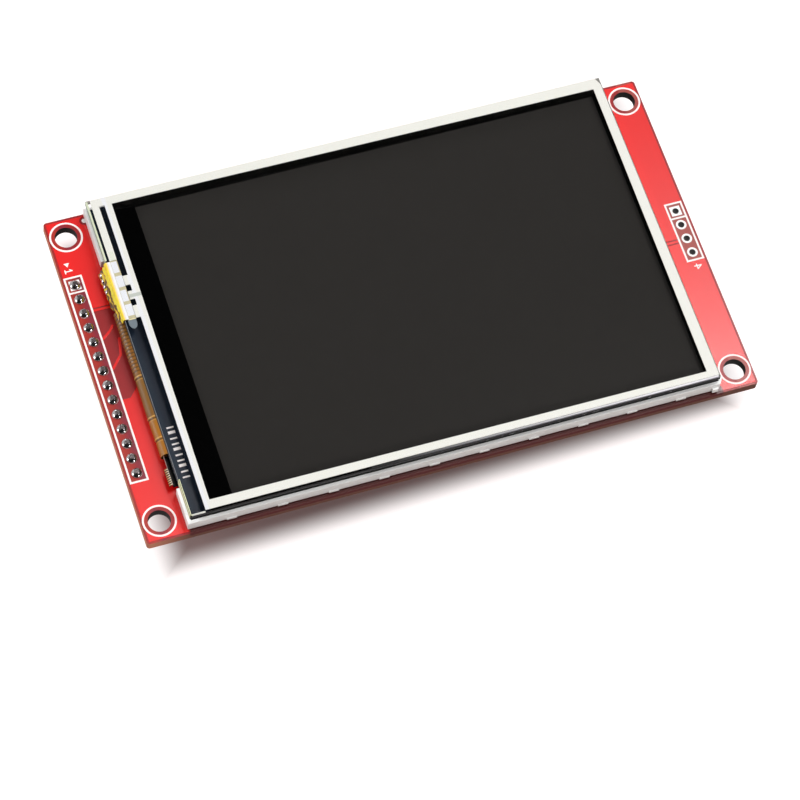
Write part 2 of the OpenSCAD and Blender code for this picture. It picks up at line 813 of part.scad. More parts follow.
module cable_solder() {
    step = (cable_width - 1) / land_count;
    right = cable_turn + cable_tuck;
    color("lightgray") for (i = [0 : land_count - 1])
        box(right - 1.6, cable_low + 0.5 + (i + 0.25) * step, copper_top,
            right + 0.3, cable_low + 0.5 + (i + 0.75) * step, cable_lift);
}

module cable_fingers() {
    step = (wing_width - 0.4) / finger_count;
    color("gold") for (i = [0 : finger_count - 1])
        box(tail_face - finger_thickness, wing_low + 0.2 + (i + 0.2) * step, cable_lift + 0.1,
            tail_face, wing_low + 0.2 + (i + 0.8) * step, frame_top - 0.4);
}

// ---- Touch panel ----

module touch_gasket() {
    color("black") difference() {
        box(ledge_right, glass_low, front_glass_top, glass_right, glass_high, gasket_top);
        box(gasket_left, gasket_low, 0, gasket_right, gasket_high, gasket_top + 1);
    }
}

module touch_glass() {
    color("honeydew") box(touch_left, touch_low, gasket_top, touch_right, touch_high, touch_top);
}

// Outline of the film: wide beside the tail, narrow below it
module film_outline(z0, z1) {
    translate([0, 0, z0]) linear_extrude(height = z1 - z0) polygon([
        [film_leg, film_low], [film_right, film_low],
        [film_right, film_high - 2 * film_corner], [film_right - film_corner, film_high],
        [film_left, film_high], [film_left, tail_head_low], [film_leg, tail_head_low]
    ]);
}

module at_contact(i) {
    translate([0, tail_middle + ((tail_contacts - 1) / 2 - i) * tail_pitch, 0]) children();
}

module touch_border() {
    opening = tail_pitch - tail_contact_length + 0.5;
    color("ivory") difference() {
        film_outline(touch_top, border_top);
        translate([window_left + window_length / 2, window_low + window_width / 2, touch_top - 1])
            rotate([0, 0, window_turn]) translate([-window_length / 2, -window_width / 2, 0])
                cube([window_length, window_width, border_thickness + 2]);
        box(slot_right - slot_width, slot_high - slot_length, touch_top - 1,
            slot_right, slot_high, border_top + 1);
        // bay for the head of the tail
        box(film_left - 1, tail_head_low - 1, touch_top - 1,
            tail_head_right + sheet_slack, tail_head_high + sheet_slack, border_top + 1);
        // dark openings between the bridges
        for (i = [1 : tail_contacts - 2]) at_contact(i)
            box(tail_head_right, -(tail_pitch + opening) / 2 - 0.15, touch_top - 1,
                slot_right - 0.1, -(tail_pitch - opening) / 2 - 0.15, border_top + 1);
    }
}

module touch_film() {
    color("azure", 0.3) film_outline(border_top, film_top);
}

module touch_tail() {
    level = touch_top + tail_thickness - tail_outer;
    color("gold") {
        box(film_left, tail_head_low, touch_top, tail_head_right, tail_head_high, touch_top + tail_thickness);
        along_y(tail_low, tail_head_high) {
            translate([tail_hang - eps, touch_top]) square([film_left + eps - tail_hang + eps, tail_thickness]);
            quarter_ring(tail_hang, level, tail_outer, tail_thickness, 90);
            translate([tail_face - tail_thickness, cable_lift + 0.15])
                square([tail_thickness, level - cable_lift - 0.15 + eps]);
        }
    }
}

module tail_contact_pads() {
    color("whitesmoke") for (i = [0 : tail_contacts - 1]) at_contact(i)
        box(film_left + 0.05, -tail_contact_length / 2, touch_top + tail_thickness,
            i % 2 == 0 ? film_left + 0.95 : tail_head_right, tail_contact_length / 2, border_top);
}

module tail_solder() {
    color("silver") for (i = [0 : tail_contacts - 1])
        translate([tail_face - tail_thickness, tail_head_high - bead_diameter / 2 - 0.1 - i * bead_pitch,
            cable_lift + 0.85])
            difference() {
                sphere(d = bead_diameter);
                translate([0, -bead_diameter, -bead_diameter]) cube(2 * bead_diameter);
            }
}

// ---- Card socket ----

// The socket hangs under the board with its mouth at the long edge
module at_socket() {
    translate([socket_x, socket_y, 0]) children();
}

module at_card_contacts() {
    at_socket() for (i = [0 : card_contacts - 1])
        translate([(i - (card_contacts - 1) / 2) * contact_pitch, 0, 0]) children();
}

module socket_base() {
    body = socket_length - 1.5;
    color("black") difference() {
        at_socket() {
            box(-socket_inner, 0, socket_floor_z, socket_inner, body, copper_bottom);
            box(-socket_inner, 0, socket_lid_top, socket_inner, 1.6, copper_bottom);
            for (side = [0, 1]) mirror([side, 0, 0])
                box(card_slot_width / 2, 0, socket_lid_top, socket_inner, body, copper_bottom);
        }
        at_card_contacts() {
            box(-contact_width / 2, -1, copper_bottom - contact_sheet,
                contact_width / 2, 2, copper_bottom + 1);
            box(-contact_width / 2 - 0.1, 2, socket_floor_z - 1,
                contact_width / 2 + 0.1, contact_reach + 3, copper_bottom + 1);
        }
    }
}

module socket_shell() {
    tongue = socket_length * 0.57;
    tongue_tip = socket_length * 0.82;
    color("silver") at_socket() {
        difference() {
            box(-socket_width / 2, 0, socket_bottom,
                socket_width / 2, socket_length - 0.8, socket_lid_top);
            // spring tongue: two long cuts and one across its tip
            translate([-socket_width / 4, 0, socket_bottom - 1]) linear_extrude(height = 2) {
                translate([-1.5, tongue]) square([0.4, tongue_tip - tongue]);
                translate([1.1, tongue]) square([0.4, tongue_tip - tongue]);
                translate([-1.5, tongue_tip - 0.4]) square([3, 0.4]);
            }
            // two lock windows
            for (side = [-1, 1])
                translate([side * socket_width * 0.35 - 1, socket_length * 0.18, socket_bottom - 1])
                    cube([2, socket_length * 0.14, 2]);
        }
        for (side = [0, 1]) mirror([side, 0, 0]) {
            box(socket_inner, 0, socket_bottom, socket_width / 2, socket_length - 0.8, copper_bottom);
            // solder lugs
            for (y = [socket_length * 0.1, socket_length * 0.78])
                box(socket_inner, y, copper_bottom - shell_thickness,
                    socket_width / 2 + 1, y + 2.2, copper_bottom);
        }
    }
}

// A contact: solder foot, long arm and a raised tip
module socket_contacts() {
    dip = socket_floor_z - 0.65;
    low = contact_reach - 1.6;
    color("gold") at_card_contacts()
        translate([-contact_width / 2, 0, 0]) rotate([90, 0, 90]) linear_extrude(height = contact_width) polygon([
            [-1.2, copper_bottom], [2.1, copper_bottom], [low, dip + contact_sheet],
            [contact_reach - 0.15, copper_bottom - 0.3], [contact_reach, copper_bottom - 0.45],
            [low + 0.1, dip], [low - 0.1, dip],
            [2.05, copper_bottom - contact_sheet], [-1.2, copper_bottom - contact_sheet]
        ]);
}

// ---- Underside parts ----

controller_place = [-27, 4];
regulator_place = [-8, -14];
switch_place = [-34, -16];
small_length = 2.9;
small_width = 1.3;
small_height = 1.0;
small_pitch = 0.95;
resistor_places = [[-40, 12, 90], [-38, 12, 90], [-36, 12, 90], [-34, 12, 90], [-20, -4, 0], [-20, -6, 0],
    [-30, -15, 0], [-30, -17, 0], [4, 6, 90], [6, 6, 90]];
capacitor_places = [[-20, 6, 90], [-3, -14, 90], [-13, -14, 90], [-34, 4, 90], [-27, 9, 0], [8, -10, 0]];

module chip_body(place, length, width, height) {
    translate([place[0] - width / 2, place[1] - length / 2, copper_bottom - chip_standoff - height])
        cube([width, length, height]);
}

module touch_controller() {
    color("black") chip_body(controller_place, controller_length, controller_width, controller_height);
}

module voltage_regulator() {
    color("black") chip_body(regulator_place, small_length, small_width, small_height);
}

module backlight_switch() {
    color("black") chip_body(switch_place, small_length, small_width, small_height);
}

// One bent lead that leaves a body at u = 0 and stands on the copper
module gull_lead(height, width) {
    sheet = 0.15;
    exit = chip_standoff + height / 2;
    translate([0, width / 2, copper_bottom]) rotate([90, 0, 0]) linear_extrude(height = width) polygon([
        [0, -exit], [0.3, -exit], [0.5, 0], [1, 0], [1, -sheet], [0.62, -sheet],
        [0.42, -exit - sheet], [0, -exit - sheet]
    ]);
}

module lead_row(place, width, height, offsets, side, lead_width) {
    for (y = offsets) translate([place[0] + side * width / 2, place[1] + y, 0])
        mirror([side < 0 ? 1 : 0, 0, 0]) gull_lead(height, lead_width);
}

module chip_leads() {
    eight = [for (i = [0 : 7]) (i - 3.5) * lead_pitch];
    color("silver") {
        for (s = [-1, 1]) lead_row(controller_place, controller_width, controller_height, eight, s, 0.25);
        for (place = [regulator_place, switch_place]) {
            lead_row(place, small_width, small_height, [-small_pitch, small_pitch], -1, 0.4);
            lead_row(place, small_width, small_height, [0], 1, 0.4);
        }
    }
}

module at_places(places) {
    for (p = places) translate([p[0], p[1], copper_bottom]) rotate([0, 0, p[2]]) children();
}

module chip_middle(height) {
    translate([chip_end - chip_length / 2, -chip_width / 2, -height])
        cube([chip_length - 2 * chip_end, chip_width, height]);
}

module chip_end_pair(height) {
    for (s = [-1, 1]) translate([s * (chip_length - chip_end) / 2 - chip_end / 2, -chip_width / 2, -height])
        cube([chip_end, chip_width, height]);
}

module resistors() {
    color("black") at_places(resistor_places) chip_middle(resistor_height);
}

module capacitors() {
    color("tan") at_places(capacitor_places) chip_middle(capacitor_height);
}

module chip_ends() {
    color("silver") {
        at_places(resistor_places) chip_end_pair(resistor_height);
        at_places(capacitor_places) chip_end_pair(capacitor_height);
    }
}

circuit_board();
ground_pour_top();
ground_pour_bottom();
signal_traces();
alignment_dots();
board_legend();
header_pads();
storage_pads();
header_strip();
header_pin(0);  // header_pin_01
header_pin(1);  // header_pin_02
header_pin(2);  // header_pin_03
header_pin(3);  // header_pin_04
header_pin(4);  // header_pin_05
header_pin(5);  // header_pin_06
header_pin(6);  // header_pin_07
header_pin(7);  // header_pin_08
header_pin(8);  // header_pin_09
header_pin(9);  // header_pin_10
header_pin(10);  // header_pin_11
header_pin(11);  // header_pin_12
header_pin(12);  // header_pin_13
header_pin(13);  // header_pin_14
header_solder();
mounting_tape();
backlight_frame();
side_tape();
reflector_sheet();
light_guide();
diffuser_sheet();
prism_sheet();
lamp_strip();
backlight_lamps();
rear_polariser();
rear_glass();
front_glass();
front_polariser();
driver_chip();
ledge_tape();
ledge_marks();
display_cable();
cable_solder();
cable_fingers();
touch_gasket();
touch_glass();
touch_border();
touch_film();
touch_tail();
tail_contact_pads();
tail_solder();
socket_base();
socket_shell();
socket_contacts();
touch_controller();
voltage_regulator();
backlight_switch();
chip_leads();
resistors();
capacitors();
chip_ends();
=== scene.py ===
import math
import random

import bmesh
import bpy
from mathutils import Matrix, Vector


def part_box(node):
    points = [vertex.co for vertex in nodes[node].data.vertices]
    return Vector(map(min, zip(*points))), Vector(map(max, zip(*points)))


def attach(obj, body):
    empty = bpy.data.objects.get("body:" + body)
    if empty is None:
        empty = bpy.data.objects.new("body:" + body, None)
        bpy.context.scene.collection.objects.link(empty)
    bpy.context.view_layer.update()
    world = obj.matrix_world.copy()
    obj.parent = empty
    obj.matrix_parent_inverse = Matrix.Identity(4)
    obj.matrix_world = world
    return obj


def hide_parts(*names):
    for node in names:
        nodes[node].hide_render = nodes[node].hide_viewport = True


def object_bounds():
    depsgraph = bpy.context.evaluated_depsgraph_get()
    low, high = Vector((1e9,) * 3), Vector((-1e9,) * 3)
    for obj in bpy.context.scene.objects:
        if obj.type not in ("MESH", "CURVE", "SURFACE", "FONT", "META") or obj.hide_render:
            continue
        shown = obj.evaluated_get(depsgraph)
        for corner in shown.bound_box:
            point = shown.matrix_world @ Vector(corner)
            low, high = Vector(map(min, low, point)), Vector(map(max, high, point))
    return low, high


mm = 0.001
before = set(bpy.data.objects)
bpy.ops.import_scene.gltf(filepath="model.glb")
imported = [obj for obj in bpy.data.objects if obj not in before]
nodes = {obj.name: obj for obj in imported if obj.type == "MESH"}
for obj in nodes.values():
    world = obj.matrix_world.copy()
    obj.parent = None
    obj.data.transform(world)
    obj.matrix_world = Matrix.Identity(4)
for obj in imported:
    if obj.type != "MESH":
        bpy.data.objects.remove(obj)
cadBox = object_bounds()
print("frame loaded:", len(nodes), "nodes")


def linear(hexColour):
    # an sRGB hex colour as linear red, green, blue and alpha
    channels = [int(hexColour[i:i + 2], 16) / 255 for i in (1, 3, 5)]
    return [c / 12.92 if c <= 0.04045 else ((c + 0.055) / 1.055) ** 2.4 for c in channels] + [1]


def addNode(tree, kind, settings):
    # adds a node; each setting is one of its options, or an input's value, or what feeds that input
    node = tree.nodes.new("ShaderNode" + kind)
    for key, value in settings.items():
        if isinstance(key, str) and hasattr(node, key):
            setattr(node, key, value)
            continue
        socket = node.inputs[key] if isinstance(key, int) else \
            next(s for s in node.inputs if s.name == key and s.enabled)
        if isinstance(value, bpy.types.Node):
            value = next(s for s in value.outputs if s.enabled)
        if isinstance(value, bpy.types.NodeSocket):
            tree.links.new(value, socket)
        else:
            socket.default_value = value
    return node


def startFinish(name, look):
    # patchy colour, patchy roughness and a fine bump, all sized in millimetres
    material = bpy.data.materials.new(name)
    material.use_nodes = True
    tree = material.node_tree
    tree.nodes.clear()
    place = addNode(tree, "TexCoord", {}).outputs["Object"]
    across = addNode(tree, "SeparateXYZ", {"Vector": place}).outputs
    patches = addNode(tree, "TexNoise", {"Vector": place, "Scale": 1000 / look["patchMm"], "Detail": 3.0})
    grain = addNode(tree, "TexNoise", {"Vector": place, "Scale": 1000 / look["grainMm"], "Detail": 2.0})
    colour = addNode(tree, "Mix", {"data_type": "RGBA", "Factor": patches.outputs[0],
                                   "A": linear(look["colour"]), "B": linear(look["shade"])})
    spread = look.get("roughSpread", 0.04)
    rough = addNode(tree, "MapRange", {"Value": patches.outputs[0], "To Min": look["roughness"] - spread,
                                       "To Max": look["roughness"] + spread})
    bump = addNode(tree, "Bump", {"Height": grain.outputs[0], "Strength": look.get("grainStrength", 0.5),
                                  "Distance": look["grainDepthMm"] * mm})
    shader = addNode(tree, "BsdfPrincipled", {
        "Base Color": colour, "Roughness": rough, "Normal": bump, "Metallic": look.get("metallic", 0.0),
        "IOR": look.get("ior", 1.5), "Coat Weight": look.get("coat", 0.0),
        "Coat Roughness": look.get("coatRoughness", 0.1), "Alpha": look.get("alpha", 1.0)})
    addNode(tree, "OutputMaterial", {"Surface": shader})
    return {"material": material, "tree": tree, "place": place, "colour": colour, "bump": bump,
            "shader": shader, "x": across[0], "y": across[1], "z": across[2]}


def tint(finish, factor, hexColour):
    # lays a second colour over the finish where factor is 1
    finish["colour"] = addNode(finish["tree"], "Mix", {
        "data_type": "RGBA", "Factor": factor, "A": finish["colour"], "B": linear(hexColour)})
    finish["tree"].links.new(finish["colour"].outputs[2], finish["shader"].inputs["Base Color"])


def band(finish, axis, low, high, blur=0.05):
    # 1 where the place along an axis is between low and high millimetres, with soft ends
    inside = []
    for edge, first, last in ((low, 0.0, 1.0), (high, 1.0, 0.0)):
        inside.append(addNode(finish["tree"], "MapRange", {
            "Value": finish[axis], "From Min": (edge - blur) * mm, "From Max": (edge + blur) * mm,
            "To Min": first, "To Max": last}))
    return both(finish, *inside)


def both(finish, *factors):
    # the product of several factors, each a node, a socket or a number
    product = factors[0]
    for factor in factors[1:]:
        product = addNode(finish["tree"], "Math", {"operation": "MULTIPLY", 0: product, 1: factor})
    return product


def waves(finish, axis, pitchMm, low, high):
    # a wave along an axis as a factor: 0 below low, 1 above high
    turns = both(finish, finish[axis], 2 * math.pi / (pitchMm * mm))
    swing = addNode(finish["tree"], "Math", {"operation": "SINE", 0: turns})
    return addNode(finish["tree"], "MapRange", {"Value": swing, "From Min": low, "From Max": high})


def facing(finish, axis):
    # 1 on faces that look along an axis either way, 0 on the others
    normal = addNode(finish["tree"], "NewGeometry", {}).outputs["True Normal"]
    along = addNode(finish["tree"], "SeparateXYZ", {"Vector": normal}).outputs["XYZ".index(axis)]
    size = addNode(finish["tree"], "Math", {"operation": "ABSOLUTE", 0: along})
    return addNode(finish["tree"], "Math", {"operation": "GREATER_THAN", 0: size, 1: 0.7})


def softenEdges(part, edgeMm):
    edge = part.modifiers.new("softEdge", "BEVEL")
    edge.width = edgeMm * mm
    edge.segments = 2
    edge.limit_method = "ANGLE"
    edge.angle_limit = math.radians(40)
    edge.harden_normals = True


def dress(names, finish, edgeMm=0.0):
    # gives CAD nodes a finish and, where edgeMm isn't 0, softened edges
    for name in names.split():
        part = nodes[name]
        part.data.materials.clear()
        part.data.materials.append(finish["material"])
        if edgeMm:
            softenEdges(part, edgeMm)


def makePiece(name, mesh, finish, thickMm=0.0, flat=False):
    # turns a bmesh into an object that rides on the module
    data = bpy.data.meshes.new(name)
    mesh.to_mesh(data)
    mesh.free()
    for face in data.polygons:
        face.use_smooth = not flat
    piece = bpy.data.objects.new(name, data)
    bpy.context.scene.collection.objects.link(piece)
    piece.data.materials.append(finish["material"])
    if thickMm:
        sheet = piece.modifiers.new("sheet", "SOLIDIFY")
        sheet.thickness = thickMm * mm
        sheet.offset = 0
    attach(piece, "root")
    return piece


def addBlock(mesh, x, y, z, edgeMm=0.01):
    # a box with rounded edges; x, y and z are (low, high) in millimetres
    made = bmesh.ops.create_cube(mesh, size=1.0)["verts"]
    for vertex in made:
        vertex.co = Vector([(high + low) / 2 + vertex.co[i] * (high - low)
                            for i, (low, high) in enumerate((x, y, z))]) * mm
    edges = list({edge for vertex in made for edge in vertex.link_edges})
    bmesh.ops.bevel(mesh, geom=edges, offset=edgeMm * mm, segments=2, profile=0.5, affect="EDGES")


def addSheet(mesh, rows):
    # quads through rows of points in millimetres
    lines = [[mesh.verts.new(Vector(point) * mm) for point in row] for row in rows]
    for a, b in zip(lines, lines[1:]):
        for i in range(len(a) - 1):
            mesh.faces.new((a[i], a[i + 1], b[i + 1], b[i]))


def addTurned(mesh, centre, profile, segments=32, wobble=None):
    # a closed turned solid; profile is (radius, height) pairs in millimetres, bottom first
    rings = []
    for radius, height in profile:
        ring = []
        for i in range(segments):
            angle = 2 * math.pi * i / segments
            reach = radius * (1 + (wobble(angle) if wobble else 0))
            point = Vector((centre[0] + reach * math.cos(angle), centre[1] + reach * math.sin(angle),
                            centre[2] + height))
            ring.append(mesh.verts.new(point * mm))
        rings.append(ring)
    for a, b in zip(rings, rings[1:]):
        for i in range(segments):
            j = (i + 1) % segments
            mesh.faces.new((a[i], a[j], b[j], b[i]))
    mesh.faces.new(rings[0][::-1])
    mesh.faces.new(rings[-1])
    return [vertex for ring in rings for vertex in ring]


def boxMm(name):
    low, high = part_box(name)
    return Vector(low) / mm, Vector(high) / mm


cameraView = {
    "place": (-0.121550, -0.226625, 0.474488),
    "right": (0.94449131, -0.31566168, 0.09107072),
    "up": (0.24539554, 0.8621381, 0.443282),
    "back": (-0.21844268, -0.39632765, 0.89174391),
    "lensMm": 157.53,
    "sensorMm": 36,
}


def makeCamera():
    camera = bpy.data.objects.new("camera", bpy.data.cameras.new("camera"))
    bpy.context.scene.collection.objects.link(camera)
    turn = Matrix((cameraView["right"], cameraView["up"], cameraView["back"])).transposed()
    camera.matrix_world = Matrix.Translation(cameraView["place"]) @ turn.to_4x4()
    camera.data.lens = cameraView["lensMm"]
    camera.data.sensor_width = cameraView["sensorMm"]
    camera.data.clip_start = 0.01
    bpy.context.scene.camera = camera


studio = {
    "paper": "#9E8E8C",  # painted a little warm, standing in for red light bounced from the board
    "glow": 0.9,  # the paper's own glow away from the module; none under it, which leaves a painted shadow there
    # where the glow starts and is full, outwards from the board's ends and from its long sides
    "glowEndsMm": (-7.5, -1.0), "glowSidesMm": (-2.3, 3.2),
    "fill": 0.42,  # light from all round
    "card": (0.218, 0.396, 0.892), "cardShade": 0.012,  # dark card that the glass mirrors, and its shade
    "cardEdge": (0.74, 0.88),  # cosines of the angles where the card ends and is full
    "frontRight": 0.02, "backLeft": 0.9,  # what gloss sees beside the card on either hand
    "roomTurn": (-0.6, 0.8, 0.0),  # the way to the bright side of the room
    "roomEdge": (0.3, 0.7),  # where along it the brightness starts and is full
    "reachMm": 4000, "standOffMm": 0.01,
    "socketRimMm": 1.0,  # how far in from its end the socket touches the floor
    # name: where it hangs, how wide it is, and its watts
    "lamps": {
        "overhead": ((0.27, 0.13, 0.85), 0.34, 4.0),
        "backKey": ((-0.05, 0.76, 0.42), 0.34, 1.6),
        "leftPanel": ((-0.75, 0.10, 0.36), 0.45, 2.3),
        "frontSpot": ((0.28, -0.52, 0.42), 0.16, 1.6),
    },
}


def floorPoint(x, y):
    # the module stands on its pin tips and the socket's far edge, so the floor leans under it
    pinLow = boxMm("header_pin_01")[0]
    socketLow, socketHigh = boxMm("socket_shell")
    socketEdge = socketHigh.x - studio["socketRimMm"]
    slope = (socketLow.z - pinLow.z) / (socketEdge - pinLow.x)
    return Vector((x, y, pinLow.z - studio["standOffMm"] + (x - pinLow.x) * slope)) * mm


def makeFloor():
    mesh = bmesh.new()
    reach = studio["reachMm"]
    corners = ((-reach, -reach), (reach, -reach), (reach, reach), (-reach, reach))
    mesh.faces.new([mesh.verts.new(floorPoint(x, y)) for x, y in corners])
    data = bpy.data.meshes.new("floor")
    mesh.to_mesh(data)
    mesh.free()
    floor = bpy.data.objects.new("floor", data)
    bpy.context.scene.collection.objects.link(floor)
    # seamless studio paper: rolled smooth and matt; it shows the shadow that falls on it and a painted
    # shadow round the module where its glow is held off
    material = bpy.data.materials.new("paperSweep")
    material.use_nodes = True
    tree = material.node_tree
    tree.nodes.clear()
    path = addNode(tree, "LightPath", {}).outputs
    seen = path["Is Camera Ray"]
    for ray in ("Is Transmission Ray", "Is Glossy Ray"):
        seen = addNode(tree, "Math", {"operation": "MAXIMUM", 0: seen, 1: path[ray]})
    # the glow grows with distance outside the board's rectangle, leaving a painted shadow under and round
    # the module
    place = addNode(tree, "NewGeometry", {}).outputs["Position"]
    across = addNode(tree, "SeparateXYZ", {"Vector": place}).outputs
    glows = []
    for axis, (start, end) in enumerate((studio["glowEndsMm"], studio["glowSidesMm"])):
        reach = addNode(tree, "Math", {"operation": "ABSOLUTE", 0: across[axis]})
        edge = cadBox[1][axis]
        glows.append(addNode(tree, "MapRange", {
            "interpolation_type": "SMOOTHSTEP", "Value": reach, "From Min": edge + start * mm,
            "From Max": edge + end * mm, "To Max": studio["glow"]}))
    glow = addNode(tree, "Math", {"operation": "MAXIMUM", 0: glows[0], 1: glows[1]})
    glow = addNode(tree, "Math", {"operation": "MULTIPLY", 0: seen, 1: glow})
    paper = addNode(tree, "BsdfDiffuse", {"Color": linear(studio["paper"])})
    light = addNode(tree, "Emission", {"Strength": glow})
    addNode(tree, "OutputMaterial", {"Surface": addNode(tree, "AddShader", {0: paper, 1: light})})
    floor.data.materials.append(material)


def makeWorld():
    # white to the eye and through glass; even fill; gloss sees a bright room with a dark card in it
    world = bpy.data.worlds.new("studio")
    bpy.context.scene.world = world
    world.use_nodes = True
    tree = world.node_tree
    tree.nodes.clear()
    path = addNode(tree, "LightPath", {}).outputs
    direction = addNode(tree, "TexCoord", {}).outputs["Generated"]
    side = addNode(tree, "VectorMath", {"operation": "DOT_PRODUCT", 0: direction, 1: studio["roomTurn"]})
    low, high = studio["roomEdge"]
    room = addNode(tree, "MapRange", {
        "interpolation_type": "SMOOTHSTEP", "Value": side.outputs["Value"], "From Min": low,
        "From Max": high, "To Min": studio["frontRight"], "To Max": studio["backLeft"]})
    card = addNode(tree, "VectorMath", {"operation": "DOT_PRODUCT", 0: direction, 1: studio["card"]})
    low, high = studio["cardEdge"]
    glossy = addNode(tree, "MapRange", {
        "interpolation_type": "SMOOTHSTEP", "Value": card.outputs["Value"], "From Min": low,
        "From Max": high, "To Min": room, "To Max": studio["cardShade"]})
    fill = addNode(tree, "Mix", {"Factor": path["Is Glossy Ray"], "A": studio["fill"], "B": glossy})
    clear = addNode(tree, "Math", {"operation": "MAXIMUM", 0: path["Is Camera Ray"],
                                   1: path["Is Transmission Ray"]})
    strength = addNode(tree, "Mix", {"Factor": clear, "A": fill, "B": 1.0})
    shade = addNode(tree, "Background", {"Strength": strength})
    addNode(tree, "OutputWorld", {"Surface": shade})


def makeLamps():
    for name, (place, width, watts) in studio["lamps"].items():
        lamp = bpy.data.lights.new(name, "AREA")
        lamp.shape = "DISK"
        lamp.size = width
        lamp.energy = watts
        holder = bpy.data.objects.new(name, lamp)
        bpy.context.scene.collection.objects.link(holder)
        holder.location = place
        holder.rotation_euler = (-Vector(place)).to_track_quat("-Z", "Y").to_euler()


makeCamera()
makeFloor()
makeWorld()
makeLamps()
bpy.context.scene.view_settings.view_transform = "Standard"
print("studio ready")


board = {
    "maskRed": "#EE120E", "maskShade": "#E60F0C",
    "bareRed": "#A21C20", "bareShade": "#8E161A",
    "sideTan": "#8A5E48", "sideBrown": "#5A3024",
    # the next three are a painted highlight on the cut edge and painted shade on the mask in front of the
    # frame
    "sideHighlight": "#D08A6C", "frameShadeRed": "#4A0303", "runMaskShade": "#520404",
    "clothMm": 0.2,  # thickness of one cloth layer in the cut edge
    "fibreMm": 0.35,  # size of its fibre bundles
    # painted shade down the walls of holes and down the plated barrels
    "holeWallShade": "#060404", "barrel": "#0C0A0A",
    # how far back the painted shade in front of the frame reaches over copper, over bare laminate and round
    # the routed edge
    "overCopper": 1.17, "overLaminate": 0.42, "roundEdge": 0.12,
    "maskRunsTo": -0.75,  # height where it stops on the routed face
    # tints along the board's ends, the last one a painted sheen: from and to in x, blur, weight and colour
    "endTintsAndSheen": ((-48.6, -47.1, 0.7, 0.5, "#C0361E"), (-46.9, -45.9, 0.4, 0.45, "#6A2440"),
                  (45.9, 48.4, 0.1, 0.6, "#A8574C")),
}


def frontStrip(finish, deep):
    # 1 on the board's front edge along the frame, as far back as deep
    frameLow, frameHigh = boxMm("backlight_frame")
    front = boxMm("circuit_board")[0].y
    return both(finish, band(finish, "y", front - 0.13, front + deep, 0.04),
                band(finish, "x", frameLow.x + 0.2, frameHigh.x + 0.2, 0.2))


def solderMask():
    # liquid solder mask cured over copper: glossy, saturated red, hardly any texture
    finish = startFinish("solderMask", {
        "colour": board["maskRed"], "shade": board["maskShade"], "patchMm": 9, "roughness": 0.22,
        "roughSpread": 0.01, "grainMm": 0.35, "grainDepthMm": 0.002, "grainStrength": 0.3,
        "coat": 1.0, "coatRoughness": 0.24})
    # painted shade of the frame on the mask strip in front of it
    tint(finish, frontStrip(finish, board["overCopper"]), board["frameShadeRed"])
    return finish


def maskedLaminate():
    # the same mask over bare glass-epoxy reads darker, and the routed edge shows its cloth layers
    finish = startFinish("maskedLaminate", {
        "colour": board["bareRed"], "shade": board["bareShade"], "patchMm": 3, "roughness": 0.28,
        "grainMm": 0.3, "grainDepthMm": 0.004})
    tree = finish["tree"]
    low, high = boxMm("circuit_board")
    # the end tints; the one at the far end is a painted sheen
    for start, end, blur, weight, colour in board["endTintsAndSheen"]:
        tint(finish, both(finish, band(finish, "x", start, end, blur), weight), colour)
    cloth = addNode(tree, "TexNoise", {"Vector": finish["place"], "Scale": 1000 / board["fibreMm"],
                                       "Detail": 4.0})
    side = addNode(tree, "Math", {"operation": "SUBTRACT", 0: 1.0, 1: facing(finish, "Z")})
    tint(finish, side, board["sideBrown"])
    tint(finish, both(finish, side, waves(finish, "z", board["clothMm"], -0.6, 0.9), cloth.outputs[0]),
         board["sideTan"])
    # side faces within the outline are the walls of holes, painted near black as shade
    tint(finish, both(finish, band(finish, "x", low.x + 0.5, high.x - 0.5, 0.01),
                      band(finish, "y", low.y + 0.47, high.y - 0.47, 0.01), side), board["holeWallShade"])
    # painted highlight: the end and the front's first stretch are tinted as if they caught the light
    tint(finish, both(finish, side, band(finish, "x", low.x - 1, low.x + 0.1, 0.05)), board["sideHighlight"])
    tint(finish, both(finish, side, band(finish, "x", low.x - 3, low.x + 4, 3.0),
                      band(finish, "y", low.y - 0.83, low.y + 0.17, 0.1)), board["sideHighlight"])
    # painted shade: the mask over the rounded front edge beside the frame is darkened for the frame's
    # shadow
    tint(finish, both(finish, frontStrip(finish, board["overLaminate"]), facing(finish, "Z")),
         board["frameShadeRed"])
    # and the mask runs a little way down the routed face, painted dark red for the same shade
    tint(finish, both(finish, side, frontStrip(finish, board["roundEdge"]),
                      band(finish, "z", board["maskRunsTo"], 0.2, 0.1)), board["runMaskShade"])
    rough = addNode(tree, "MapRange", {"Value": side, "To Min": 0.28, "To Max": 0.9})
    tree.links.new(rough.outputs[0], finish["shader"].inputs["Roughness"])
    return finish


def levelledTin():
    # hot-air levelled tin: bright on the pad, with painted shade making it dark down the plated barrel
    finish = startFinish("levelledTin", {
        "colour": "#FFFFFD", "shade": "#F6F5F3", "patchMm": 0.8, "roughness": 0.5,
        "grainMm": 0.5, "grainDepthMm": 0.02})
    side = addNode(finish["tree"], "Math", {"operation": "SUBTRACT", 0: 1.0, 1: facing(finish, "Z")})
    # painted shade down the barrel
    tint(finish, side, board["barrel"])
    return finish


def legendInk():
    # screen-printed white epoxy ink: flat and faintly uneven
    return startFinish("legendInk", {
        "colour": "#FFF8F6", "shade": "#F8ECEA", "patchMm": 0.5, "roughness": 0.5,
        "grainMm": 0.12, "grainDepthMm": 0.01})


dress("ground_pour_top ground_pour_bottom signal_traces", solderMask())
dress("circuit_board", maskedLaminate(), 0.04)
dress("header_pads storage_pads alignment_dots", levelledTin())
dress("board_legend ledge_marks", legendInk())


